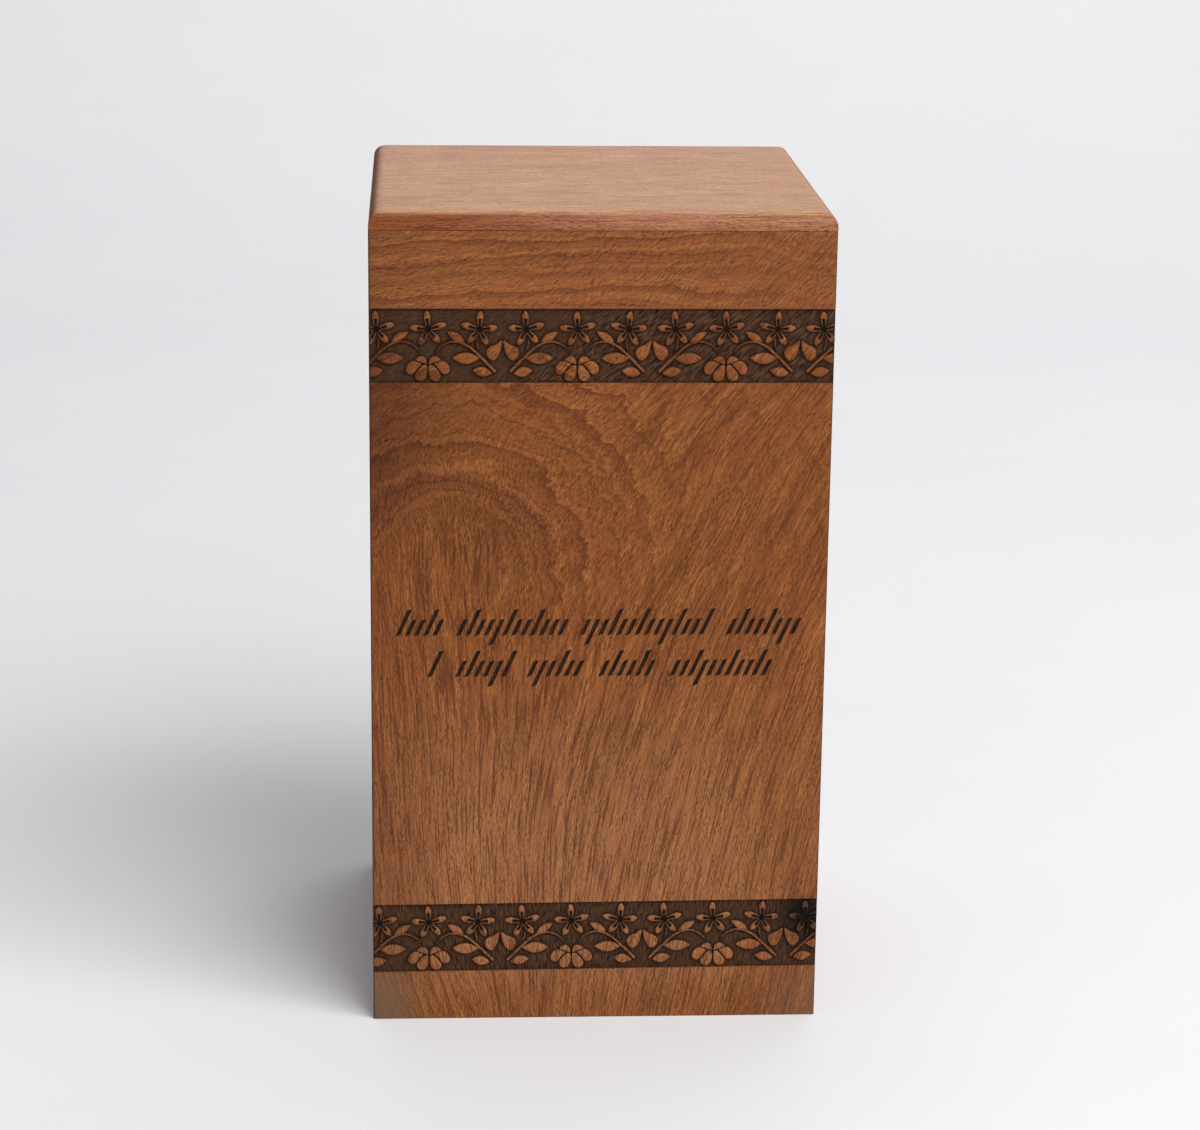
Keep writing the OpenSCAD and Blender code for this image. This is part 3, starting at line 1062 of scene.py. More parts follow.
@dataclass
class Relief:
    """The front's depth behind its face, scorching with painted shade drawn as soot, and paleness with the
    painted sheen, at points of its plane.
    """

    points: Array
    level: Array
    scorch_and_shade: Array
    wear_and_sheen: Array

    def near(self, outline: Array, reach: float = 0.0) -> Array:
        """Picks the points whose box distance to an outline is under reach."""
        low, high = outline.min(0) - reach, outline.max(0) + reach
        return np.nonzero(((self.points > low) & (self.points < high)).all(1))[0]


@dataclass
class Drawing:
    """The plan of a mesh: closed lines, open lines and loose points of its plane.

    Points nearer to each other than the merge distance become one.
    """

    loops: list[Array]
    lines: list[Array]
    loose: list[Array]
    merge: float = 1e-5

    def mesh(self, half: float, top: float) -> tuple[Array, Array]:
        """Meshes the part of the plan that lies on the board.

        Args:
            half: Half of the board's width.
            top: Height of the board.

        Returns:
            Points of the plane, and the triangles between them.
        """
        points: list[Vector] = []
        edges: list[tuple[int, int]] = []
        for path, closed in [(loop, True) for loop in self.loops] + [(line, False) for line in self.lines]:
            start = len(points)
            points += [Vector(p) for p in path]
            edges += [(start + i, start + i + 1) for i in range(len(path) - 1)]
            if closed:
                edges.append((start + len(path) - 1, start))
        for group in self.loose:
            points += [Vector(p) for p in group]
        found, _, corners, *_ = delaunay_2d_cdt(points, edges, [], 0, self.merge, False)
        flat, triangles = np.array([tuple(p) for p in found]), np.array(corners)
        middle = flat[triangles].mean(1)
        held = (np.abs(middle[:, 0]) < half) & (middle[:, 1] > 0) & (middle[:, 1] < top)
        used, triangles = np.unique(triangles[held], return_inverse=True)
        return flat[used], triangles.reshape(-1, 3)


@dataclass(frozen=True)
class Gouge:
    """The cut that runs up a petal: it widens outward, forks at its end and stops short of the tip.

    Its places along are shares of its length.
    """

    depth: float = 0.75
    half_width: float = 0.5
    widening: float = 0.25
    widest: float = 0.8
    narrowing: Turn = (0.4, 0.8, 1.1)
    fork: Turn = (0.3, 0.75, 1.0)
    end: float = 1.08
    end_fade: float = 4.0

    def share(self, points: Array, cut: tuple[Array, Array]) -> Array:
        """Works out how far the cut reaches at each point.

        Args:
            points: Places in the board's plane.
            cut: Start and end of the cut.

        Returns:
            Share of the cut's depth.
        """
        start, end = cut
        run = end - start
        length = float(np.linalg.norm(run))
        offset = points - start
        t = offset @ run / length**2
        across = np.abs(offset[:, 0] * run[1] - offset[:, 1] * run[0]) / length
        fork = gain(t, self.fork)
        wide = self.half_width + self.widening * np.clip(t, 0, self.widest) - gain(t, self.narrowing)
        return np.clip(1 - np.abs(across - fork) / wide, 0, 1) * np.clip(self.end_fade * (self.end - t), 0, 1)


@dataclass(frozen=True)
class Torch:
    """How the carver's torch has scorched the front, with painted shade drawn as more soot. Scorching of 1 is
    brown soot and 2 is black.
    """

    # Of a band's ground, and what its slopes and its upper and lower rims add to it over their reach. The
    # rims' share is painted shadow under the band's edges, partly a burnt edge.
    ground: float = 0.8
    slope: float = 0.2
    upper_rim_shadow: float = 0.8
    lower_rim_shadow: float = 0.35
    rim_reach: float = 0.7
    # Of the edge of a petal or leaf and of a vine, and the reach of each; a vine is scorched all over too.
    edge: float = 0.35
    edge_reach: float = 0.25
    vine: float = 0.22
    vine_edge: float = 0.5
    vine_reach: float = 0.22
    # In a petal's gouge cut, with what its petal keeps of the edge's scorching.
    cut: float = 3.6
    cut_petal: float = 0.3
    # Painted shade on the ground round each shape, and black in the eye of a star.
    shade_halo: float = 0.6
    shade_halo_reach: float = 0.9
    shade_halo_depth: float = -0.5
    eye_reach: float = 1.5
    eye_fade: float = 0.7
    # In a stroke: at its rim, at its most, and how fast it gets there.
    stroke_rim: float = 0.7
    stroke_most: float = 1.6
    stroke_fade: float = 0.1
    # The last flower of the lower band stayed too long under the torch: x, z and reach.
    charred: tuple[float, float, float] = (74.5, 39.0, 8.0)
    charred_strength: float = 1.1
    # A thin brown line is drawn down both upright edges: strength, reach and fade.
    line: tuple[float, float, float] = (0.75, 0.52, 0.3)


@dataclass(frozen=True)
class Wear:
    """Where the front is drawn greyer and darker, and the painted sheen of the floor's reflection on its
    lower half.
    """

    # Both lower corners are greyed, the left one most: strength, and where it comes across and down.
    grey_left: tuple[float, Pair, Pair] = (0.75, (58, 76), (-26, -8))
    grey_right: tuple[float, Pair, Pair] = (0.35, (52, 76), (-24, -6))
    # The face is drawn darker at the upper left, in the heart of the rings and by both edges.
    corner: float = 0.5
    corner_across: Pair = (30, 74)
    corner_up: Pair = (168, 205)
    corner_down: Pair = (-262, -225)
    heart: float = 0.3
    heart_place: Pair = (-38, 178)
    heart_reach: float = 17.0
    left_edge: Turn = (0.2, 52, 78)
    right_edge: Turn = (0.1, 60, 78)
    right_down: Pair = (-110, -60)
    # Painted sheen: the lower half is drawn paler, as the floor's reflection in the lacquer, less at its
    # sides and least at the foot. The top is drawn a little paler.
    floor_sheen: Turn = (0.36, -150, -60)
    floor_sheen_middle: float = -5.0
    floor_sheen_sides: Turn = (0.5, 40, 75)
    foot_share: float = 0.35
    foot_rise: Pair = (4, 24)
    paler_top: Turn = (0.08, 250, 262)

    def grey(self, x: Array, z: Array) -> Array:
        """Gives how greyed the face is.

        Args:
            x: Places across the board.
            z: Places up the board.

        Returns:
            Share of grey.
        """
        made = np.zeros_like(x)
        for side, (strength, across, down) in ((-1, self.grey_left), (1, self.grey_right)):
            made += strength * ramp(side * x, *across) * ramp(-z, *down)
        return made

    def stain(self, x: Array, z: Array) -> Array:
        """Gives how much darker the face is drawn.

        Args:
            x: Places across the board.
            z: Places up the board.

        Returns:
            Share of the darker tint.
        """
        corner = self.corner * ramp(-x, *self.corner_across) * ramp(z, *self.corner_up)
        corner = corner * ramp(-z, *self.corner_down)
        aside = (x - self.heart_place[0]) / self.heart_reach
        above = (z - self.heart_place[1]) / self.heart_reach
        heart = self.heart * np.exp(-(aside**2) - above**2)
        right = gain(x, self.right_edge) * ramp(-z, *self.right_down)
        return corner + heart + gain(-x, self.left_edge) + right

    def fade(self, x: Array, z: Array) -> Array:
        """Gives the painted sheen on the lower half, drawn as paler wood, and how much paler the top is.

        Args:
            x: Places across the board.
            z: Places up the board.

        Returns:
            Share of the pale colour.
        """
        lower = gain(-z, self.floor_sheen) * (1 - gain(np.abs(x - self.floor_sheen_middle), self.floor_sheen_sides))
        foot = self.foot_share + (1 - self.foot_share) * ramp(z, *self.foot_rise)
        return lower * foot + gain(z, self.paler_top)


@dataclass
class FrontBoard:
    """The carved front wall: one board with two flower bands and two rows of strokes."""

    finish: bpy.types.Material
    bands: tuple[FlowerBand, ...] = (FlowerBand(foot=233.35), FlowerBand(foot=18.5, tilt=0.4))
    repeat: FlowerRepeat = field(default_factory=FlowerRepeat)
    strokes: StrokeRows = field(default_factory=StrokeRows)
    grain: FrontGrain = field(default_factory=FrontGrain)
    gouge: Gouge = field(default_factory=Gouge)
    torch: Torch = field(default_factory=Torch)
    wear: Wear = field(default_factory=Wear)
    # The torch slipped below the upper band, a flake is off the top edge, and the right edge is nicked.
    blemishes: tuple[Blemish, ...] = (
        Blemish((-33.0, 232.55), (-1.0, 232.7), 0.34, 0.05, scorch_and_shade=0.8),
        Blemish((-4.0, 232.6), (22.0, 232.75), 0.22, 0.03, scorch_and_shade=0.45),
        Blemish((-67.6, 285.2), (-64.9, 285.3), 0.5, 0.35, wear_and_sheen=1.0),
        Blemish((78.75, 233.2), (79.2, 236.6), 0.8, 0.6, scorch_and_shade=0.5),
        Blemish((79.0, 108.0), (79.1, 110.5), 0.6, 0.4, wear_and_sheen=1.0),
    )
    # Radius of the upright edges, easing of the top and foot, and where the sawn edge starts behind the face.
    arris: float = 0.8
    rim: float = 0.35
    edge_start: float = 2.2
    # Spacing of the mesh on the plain face, in a stroke and round a cut, clearances between parts of it, and
    # how far the plan runs past the board before it is trimmed.
    border_step: float = 3.0
    panel_step: float = 3.2
    panel_gap: float = 0.8
    stroke_step: float = 0.3
    skirt: float = 0.09
    ground_gap: float = 0.22
    fill_gap: float = 0.45
    panel_margin: float = 1.0
    overrun: float = 3.0
    ground_overrun: float = 1.0
    touch: float = 1e-3
    arris_lines: tuple[float, ...] = (0.07, 0.26, 0.52, 0.8)
    upright_count: int = 90
    level_count: int = 50
    band_count: int = 160
    # Height and length of the unevenness that the chisel leaves on a band's ground.
    ground_wave: Pair = (0.05, 5.5)
    # How much of the rings shows on the sawn edge, their slope there, and what it keeps of the greying.
    edge_figure: float = 0.35
    edge_rings: Pair = (0.6, 0.03)
    edge_grey: float = 0.3
    crease: float = 36.0

    def _clear_of(self, points: Array, outlines: Iterable[Array], gap: float) -> Array:
        """Drops the points that lie in or near an outline.

        Args:
            points: Rows of plane points.
            outlines: The outlines.
            gap: How near a point may lie.

        Returns:
            The points that stay.
        """
        keep = np.ones(len(points), bool)
        for outline in outlines:
            low, high = outline.min(0) - gap, outline.max(0) + gap
            near = np.nonzero(((points > low) & (points < high)).all(1))[0]
            if len(near):
                keep[near] &= inside_distance(points[near], outline) < -gap
        return points[keep]

    def _within(self, outline: Array, step: float) -> Array:
        """Fills an outline with points, a little clear of its edge."""
        grid = hex_points(tuple(outline.min(0)), tuple(outline.max(0)), step)
        return grid[inside_distance(grid, outline) > self.fill_gap * step] if len(grid) else grid

    def _sink_ground(self, relief: Relief, band: FlowerBand) -> None:
        """Sinks and scorches a band's ground, with a painted shadow along its rims.

        Args:
            relief: The front so far.
            band: The band.
        """
        torch, points = self.torch, relief.points
        own = band.from_board(points)
        depth_in = np.minimum(own[:, 1], band.height - own[:, 1])
        inside = np.nonzero(depth_in > self.touch)[0]
        share = np.clip(depth_in[inside] / band.wall_run, 0, 1)
        height, length = self.ground_wave
        floor = -band.depth - height * waves(points[inside, 0], points[inside, 1], length)
        relief.level[inside] = floor * share
        # Painted shadow: the ground is drawn blacker under the band's upper edge, where its wall shades it,
        # and a little along its lower edge; partly it is a burnt edge.
        rim = np.where(own[inside, 1] > band.height / 2, torch.upper_rim_shadow, torch.lower_rim_shadow)
        rim = rim * np.clip(1 - depth_in[inside] / torch.rim_reach, 0, 1)
        relief.scorch_and_shade[inside] = torch.ground + torch.slope * share + rim

    def _raise_shape(self, relief: Relief, band: FlowerBand, shape: Carving) -> None:
        """Lets a carved shape stand up from its band's ground.

        Args:
            relief: The front so far.
            band: The shape's band.
            shape: The shape.
        """
        torch, form = self.torch, SHAPES[shape.motif]
        near = relief.near(shape.outline, torch.shade_halo_reach + band.wall_run)
        if not len(near):
            return
        points = relief.points[near]
        distance = inside_distance(points, shape.outline)
        round_up = np.sin(np.clip(distance / form.shoulder, 0, 1) * math.pi / 2)
        surface = form.edge + (form.crown - form.edge) * round_up
        burn = torch.edge * np.clip(1 - distance / torch.edge_reach, 0, 1)
        if shape.motif is Motif.VINE:
            burn = torch.vine + torch.vine_edge * np.clip(1 - distance / torch.vine_reach, 0, 1)
        if shape.cut is not None:
            gouge = self.gouge.share(points, shape.cut)
            surface = surface - self.gouge.depth * gouge
            burn = np.maximum(torch.cut_petal * burn, np.clip(torch.cut * gouge, 0, 2))
        wall = np.clip(-distance / band.shape_wall_run, 0, 1)
        surface = np.where(distance >= 0, surface, surface + (-band.depth - surface) * wall)
        burn = np.where(distance >= 0, burn, burn + (1 - burn) * np.clip(2 * wall, 0, 1))
        higher = surface > relief.level[near]
        relief.level[near[higher]] = surface[higher]
        relief.scorch_and_shade[near[higher]] = burn[higher]
        # Painted shade: the ground round each shape is drawn blacker where the shape shades it, and the eye
        # of a star is drawn black.
        low = relief.level[near] < torch.shade_halo_depth
        shade_halo = 1 + torch.shade_halo * np.clip(1 + (distance + band.wall_run) / torch.shade_halo_reach, 0, 1)
        if shape.cut is not None:
            start, end = shape.cut
            eye = start - (end - start) / np.linalg.norm(end - start) * self.repeat.eye
            to_eye = np.linalg.norm(points - eye, axis=1)
            shade_halo = np.maximum(shade_halo, 2 * np.clip((torch.eye_reach - to_eye) / torch.eye_fade, 0, 1))
        relief.scorch_and_shade[near[low]] = np.maximum(relief.scorch_and_shade[near], shade_halo)[low]

    def _cut_strokes(self, relief: Relief, cuts: list[Array]) -> None:
        """Cuts and scorches the strokes.

        Args:
            relief: The front so far.
            cuts: Outlines of the strokes.
        """
        torch, strokes = self.torch, self.strokes
        for outline in cuts:
            near = relief.near(outline)
            if not len(near):
                continue
            signed = inside_distance(relief.points[near], outline)
            depth = np.maximum(signed, 0)
            floor = -np.minimum(strokes.wall_slope * depth, strokes.depth)
            relief.level[near] = np.minimum(relief.level[near], floor)
            burnt = np.clip(torch.stroke_rim + depth / torch.stroke_fade, 0, torch.stroke_most)
            burnt = np.where(signed > -strokes.touch, burnt, 0)
            relief.scorch_and_shade[near] = np.maximum(relief.scorch_and_shade[near], burnt)

    def _mark_faults(self, relief: Relief, half: float, top: float) -> None:
        """Adds the small faults, the charred flower, the brown edge lines and the rounded edges.

        Args:
            relief: The front so far.
            half: Half of the board's width.
            top: Height of the board.
        """
        points = relief.points
        for mark in self.blemishes:
            outline = mark.outline()
            near = relief.near(outline)
            if len(near):
                share = np.clip(inside_distance(points[near], outline) / mark.wall, 0, 1)
                held = share > 0
                relief.level[near] -= mark.depth * share
                relief.scorch_and_shade[near] = np.maximum(relief.scorch_and_shade[near], mark.scorch_and_shade * held)
                relief.wear_and_sheen[near] = np.maximum(relief.wear_and_sheen[near], mark.wear_and_sheen * held)
        torch, band = self.torch, self.bands[1]
        x, z, reach = torch.charred
        char = np.exp(-(((points[:, 0] - x) ** 2 + (points[:, 1] - z) ** 2) / reach**2))
        own = band.from_board(points)[:, 1]
        charred = np.where((own > 0) & (own < band.height), relief.scorch_and_shade + char * torch.charred_strength, 0)
        strength, reach, fade = torch.line
        line = strength * np.clip((np.abs(points[:, 0]) - half + reach) / fade, 0, 1)
        relief.scorch_and_shade = np.maximum(np.maximum(relief.scorch_and_shade, charred), line)
        # The upright edges are rounded and the top and foot are eased.
        side = np.clip(self.arris - (half - np.abs(points[:, 0])), 0, self.arris)
        rounded = -(self.arris - np.sqrt(np.maximum(self.arris**2 - side**2, 0)))
        eased = -np.clip(self.rim - np.minimum(points[:, 1], top - points[:, 1]), 0, self.rim)
        relief.level = np.minimum(relief.level, np.minimum(rounded, eased))

    def _relief(
        self, points: Array, carved: list[list[Carving]], cuts: list[Array], half: float, top: float
    ) -> Relief:
        """Works out the front's relief.

        Args:
            points: Places in the board's plane.
            carved: Shapes of each band.
            cuts: Outlines of the strokes.
            half: Half of the board's width.
            top: Height of the board.

        Returns:
            The relief at those points.
        """
        relief = Relief(points, *(np.zeros(len(points)) for _ in range(3)))
        for band, shapes in zip(self.bands, carved):
            self._sink_ground(relief, band)
            for shape in shapes:
                self._raise_shape(relief, band, shape)
        self._cut_strokes(relief, cuts)
        self._mark_faults(relief, half, top)
        return relief

    def _drawing(self, carved: list[list[Carving]], cuts: list[Array], half: float, top: float) -> Drawing:
        """Lays out the lines and points that the front's mesh has to follow.

        Args:
            carved: Shapes of each band.
            cuts: Outlines of the strokes.
            half: Half of the board's width.
            top: Height of the board.

        Returns:
            Closed lines, open lines and loose points in the board's plane.
        """
        corners = np.array([[-half, 0.0], [half, 0.0], [half, top], [-half, top]])
        loops = [smooth(np.repeat(corners, 2, axis=0), self.border_step)]
        lines: list[Array] = []
        loose: list[Array] = []
        for inset in self.arris_lines:
            for side in (-1, 1):
                heights = np.linspace(0, top, self.upright_count)
                lines.append(np.array([[side * (half - inset), z] for z in heights]))
        for z in (self.rim, top - self.rim):
            lines.append(np.array([[x, z] for x in np.linspace(-half, half, self.level_count)]))
        panel = hex_points((-half, self.panel_margin), (half, top - self.panel_margin), self.panel_step)
        for band, shapes in zip(self.bands, carved):
            across = np.linspace(-half - self.overrun, half + self.overrun, self.band_count)
            for v in (0.0, band.wall_run, band.height - band.wall_run, band.height):
                lines.append(band.to_board(np.column_stack([across, np.full_like(across, v)])))
            for shape in shapes:
                loops += [shape.outline, grow(shape.outline, band.wall_run)]
                loose.append(self._within(shape.outline, SHAPES[shape.motif].spacing))
            inner, reach = 2 * band.wall_run, half + self.ground_overrun
            ground = hex_points((-reach, inner), (reach, band.height - inner), band.ground_step)
            outlines = [shape.outline for shape in shapes]
            loose.append(self._clear_of(band.to_board(ground), outlines, band.wall_run + self.ground_gap))
            v = band.from_board(panel)[:, 1]
            panel = panel[(v < -self.panel_gap) | (v > band.height + self.panel_gap)]
        for outline in cuts:
            loops += [outline, grow(outline, self.skirt)]
            loose.append(self._within(outline, self.stroke_step))
        marks = [mark.outline() for mark in self.blemishes]
        for outline in marks:
            loops += [outline, grow(outline, self.skirt)]
        loose.append(self._clear_of(panel, cuts + marks, self.panel_gap))
        return Drawing(loops, lines, loose)

    def _outline(self, triangles: Array) -> list[int]:
        """Follows the mesh's open edge once round.

        Args:
            triangles: The mesh's triangles.

        Returns:
            Its points along that edge, in order.
        """
        edges = np.vstack([triangles[:, [0, 1]], triangles[:, [1, 2]], triangles[:, [2, 0]]])
        known = set(map(tuple, edges.tolist()))
        following = {a: b for a, b in known if (b, a) not in known}
        loop = [min(following)]
        while following[loop[-1]] != loop[0]:
            loop.append(following[loop[-1]])
        return loop

    def _surface(self, relief: Relief, triangles: Array, face_y: float, back_y: float) -> Surface:
        """Gives the relief its body and its grain.

        Args:
            relief: Relief of the face.
            triangles: Triangles between its points.
            face_y: Place of the face.
            back_y: Place of the back.

        Returns:
            The closed surface.
        """
        flat, loop = relief.points, self._outline(triangles)
        front = np.column_stack([flat[:, 0], face_y - relief.level, flat[:, 1]])
        count, ring = len(front), len(loop)
        # Two more loops carry the sawn edge: one just behind the rounded face, one at the back.
        sawn, back = front[loop].copy(), front[loop].copy()
        sawn[:, 1], back[:, 1] = face_y + self.edge_start, back_y
        faces = [tuple(int(i) for i in t) for t in triangles]
        for i, vertex in enumerate(loop):
            j = (i + 1) % ring
            faces.append((loop[j], vertex, count + i, count + j))
            faces.append((count + j, count + i, count + ring + i, count + ring + j))
        faces.append(tuple(count + ring + i for i in reversed(range(ring))))
        places = np.vstack([front, sawn, back])
        x, y, z = places.T
        edge = np.arange(len(places)) >= count
        unmarked = np.zeros(2 * ring)
        start, length = self.grain.along(x, z)
        girth = x + y * np.sign(x)
        upright = np.tile([0.0, 1.0, 0.0], (len(places), 1))
        deep, up = self.edge_rings
        return Surface(
            places=places,
            faces=faces,
            grain=np.column_stack([np.where(edge, girth, start), np.where(edge, z, length), y]),
            plane=np.column_stack([np.where(edge, girth, x), z, y]),
            heading=np.where(edge[:, None], upright, self.grain.heading(x, z)),
            rings=np.where(edge, deep * y + up * z, self.grain.rings(x, z)),
            figure=np.where(edge, self.edge_figure, self.grain.figure(x, z)),
            scorch_and_shade=np.concatenate([relief.scorch_and_shade, unmarked]),
            shade=np.where(edge, self.edge_grey, 1.0) * self.wear.grey(x, z),
            stain=self.wear.stain(x, z),
            # Pale bare wood at the faults, and the painted sheen on the lower half.
            wear_and_sheen=np.concatenate([relief.wear_and_sheen, unmarked]) + self.wear.fade(x, z),
        )

    def build(self) -> bpy.types.Object:
        """Makes the board.

        Returns:
            The piece, which stands for the front_board node.
        """
        low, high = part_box("front_board")
        half, top = high.x / MM, high.z / MM
        carved = [band.carvings(self.repeat, half) for band in self.bands]
        cuts = self.strokes.outlines(half)
        flat, triangles = self._drawing(carved, cuts, half, top).mesh(half, top)
        relief = self._relief(flat, carved, cuts, half, top)
        surface = self._surface(relief, triangles, low.y / MM, high.y / MM)
        return surface.make("front_board_carved", self.finish, "front_board", "carved_wood", self.crease)


# ---------------------------------------------------------------- plain boards


class Run(Enum):
    """Direction of a plain board's fibres."""

    ACROSS = 0
    DEEP = 1
    UP = 2


@dataclass
class PlainBoard:
    """A flat board with eased edges, cut to a frame node's box."""

    node: str
    slot: str
    finish: bpy.types.Material
    run: Run
    seed: float = 0.0
    # The edges are eased by a small rounding in a few steps.
    ease: float = 0.5
    ease_steps: int = 3
    # The faces are cut into cells so that their hollows show: cell size, hollow depth, wave length, margin.
    cell: float = 7.0
    sliced: tuple[int, ...] = (0, 1, 2)
    hollow: float = 0.03
    hollow_length: float = 38.0
    hollow_margin: float = 0.9
    # Rings of a plain-sawn board arch along its middle: their spread across, distance to the heart and slope.
    ring_spread: float = 0.6
    heart: float = 18.0
    ring_slope: float = 0.05
    figure: float = 0.35
    # Stain gathers by the edges, over this reach.
    edge_stain: float = 0.25
    edge_reach: float = 4.0
    crease: float = 40.0
    touch: ClassVar[float] = 1e-4
    weld: ClassVar[float] = 1e-5

    def _block(self, work: bmesh.types.BMesh, low: Array, high: Array) -> None:
        """Adds a block.

        Args:
            work: Mesh that gets it.
            low: Its lowest corner.
            high: Its highest corner.
        """
        bmesh.ops.create_cube(work, size=1.0)
        for vertex in work.verts:
            vertex.co = Vector(((low + high) / 2 + np.array(vertex.co) * (high - low)).tolist())

    def _shape(self, work: bmesh.types.BMesh, low: Array, high: Array) -> None:
        """Fills the work mesh with the board."""
        self._block(work, low, high)
        self._round(work, list(work.edges), self.ease, self.ease_steps)

    def _round(self, work: bmesh.types.BMesh, edges: list, radius: float, steps: int) -> None:
        """Rounds edges to a radius, in a number of steps."""
        bmesh.ops.bevel(work, geom=edges, offset=radius, segments=steps, profile=0.5, affect="EDGES")

    def _slice(self, work: bmesh.types.BMesh, low: Array, high: Array) -> None:
        """Cuts the flat faces into cells.

        Args:
            work: Mesh of the board.
            low: Its lowest corner.
            high: Its highest corner.
        """
        for k in self.sliced:
            count = int((high[k] - low[k]) / self.cell)
            normal = Vector([float(k == i) for i in range(3)])
            for i in range(1, count):
                place = Vector((low + (high - low) * i / count).tolist())
                geom = list(work.verts) + list(work.edges) + list(work.faces)
                bmesh.ops.bisect_plane(work, geom=geom, plane_co=place, plane_no=normal, dist=self.weld)

    def _stain(self, places: Array, low: Array, high: Array) -> Array:
        """Gives how much darker the stain has taken at each place: a little, by the edges."""
        edge = np.sort(np.minimum(places - low, high - places), axis=1)[:, 1]
        return self.edge_stain * (1 - ramp(edge, 0.0, self.edge_reach))

    def build(self) -> bpy.types.Object:
        """Makes the board.

        Returns:
            The piece, which stands for the board's frame node.
        """
        low, high = (np.array(corner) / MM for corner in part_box(self.node))
        work = bmesh.new()
        self._shape(work, low, high)
        self._slice(work, low, high)
        bmesh.ops.recalc_face_normals(work, faces=list(work.faces))
        work.verts.index_update()
        places = np.array([tuple(v.co) for v in work.verts])
        normals = np.array([tuple(v.normal) for v in work.verts])
        loops = [[v.index for v in f.verts] for f in work.faces]
        work.free()
        # The tools that cut and round a mesh may list its faces in any order. Each face starts at its
        # lowest vertex and the faces are sorted, so that every run gives the same mesh.
        firsts = [loop.index(min(loop)) for loop in loops]
        faces = sorted(tuple(loop[k:] + loop[:k]) for loop, k in zip(loops, firsts))
        # Planing leaves the faces a few hundredths of a millimetre hollow here and there.
        x, y, z = places.T
        hollow = self.hollow * (1 + waves(x + y, z + y, self.hollow_length))
        margin = self.hollow_margin
        inner = ((places > low + margin) & (places < high - margin)).sum(1) >= 2
        places = places - normals * (hollow * inner)[:, None]
        along = self.run.value
        first, second = (k for k in range(3) if k != along)
        centred = places - (low + high) / 2
        # The sum of both measures across carries the streaks round the edges. Their difference dots the ends.
        girth = centred[:, first] + centred[:, second] + self.seed
        spread = centred[:, first] - centred[:, second]
        arched = np.hypot(self.ring_spread * (girth - self.seed), self.heart)
        blank = np.zeros(len(places))
        surface = Surface(
            places=places,
            faces=faces,
            grain=np.column_stack([girth, places[:, along], spread]),
            plane=np.column_stack([girth, places[:, along] + spread, spread]),
            heading=np.tile([0.0, 1.0, 0.0], (len(places), 1)),
            rings=arched + self.ring_slope * centred[:, along],
            figure=blank + self.figure,
            scorch_and_shade=blank,
            shade=blank,
            stain=self._stain(places, low, high),
            wear_and_sheen=blank,
        )
        return surface.make(f"{self.node}_finished", self.finish, self.node, self.slot, self.crease)


@dataclass
class Lid(PlainBoard):
    """The lift-off lid: rounded upper edges, and a step underneath that drops inside the walls."""

    ease: float = 0.35
    ease_steps: int = 2
    # The slab is thin, so that it is cut only across and deep.
    sliced: tuple[int, ...] = (0, 1)
    edge_height: float = 6.35
    round_over: float = 5.0
    round_steps: int = 9
    step_inset: float = 13.1
    # The edges are drawn darker than the top, from a little below it, and less so to the right; the top's
    # pale colours are painted sheen.
    edge_fall: Pair = (0.1, 1.6)
    less_to_right: Turn = (0.42, -75, 40)

    def _shape(self, work: bmesh.types.BMesh, low: Array, high: Array) -> None:
        """Fills the work mesh with the slab and its step.

        Args:
            work: Mesh of the lid.
            low: Its lowest corner.
            high: Its highest corner.
        """
        shoulder = high[2] - self.edge_height
        self._block(work, np.array([low[0], low[1], shoulder]), high)
        upper = [e for e in work.edges if all(v.co.z > shoulder + self.touch for v in e.verts)]
        self._round(work, upper, self.round_over, self.round_steps)
        under = min(work.faces, key=lambda f: f.calc_center_median().z)
        bmesh.ops.inset_region(work, faces=[under], thickness=self.step_inset, use_even_offset=True)
        step = bmesh.ops.extrude_discrete_faces(work, faces=[under])["faces"][0]
        bmesh.ops.translate(work, verts=list(step.verts), vec=Vector((0, 0, low[2] - shoulder)))
        foot = [e for e in work.edges if all(abs(v.co.z - low[2]) < self.touch for v in e.verts)]
        rim = [e for e in work.edges if all(self._on_rim(v.co, shoulder, high) for v in e.verts)]
        self._round(work, rim + foot, self.ease, self.ease_steps)

    def _on_rim(self, place: Vector, shoulder: float, high: Array) -> bool:
        """Tells whether a place is on the slab's lower edge."""
        return abs(place.z - shoulder) < self.touch and max(abs(place.x), abs(place.y)) > high[0] - self.ease

    def _stain(self, places: Array, low: Array, high: Array) -> Array:
        """Gives how much darker the lid is drawn: most on the edges' open end, and to the left."""
        return ramp(high[2] - places[:, 2], *self.edge_fall) * (1 - gain(places[:, 0], self.less_to_right))


# ---------------------------------------------------------------- studio


@dataclass(frozen=True)
class SoftBox:
    """A rectangular soft light. Lengths in metres, power in watts."""

    name: str
    place: Place
    aim: Place
    size: Pair
    power: float

    def hang(self) -> None:
        """Hangs the light so that it faces its aim."""
        data = bpy.data.lights.new(self.name, "AREA")
        data.shape = "RECTANGLE"
        data.size, data.size_y = self.size
        data.energy = self.power
        lamp = bpy.data.objects.new(self.name, data)
        lamp.location = self.place
        lamp.rotation_euler = (Vector(self.aim) - Vector(self.place)).to_track_quat("-Z", "Y").to_euler()
        bpy.context.scene.collection.objects.link(lamp)


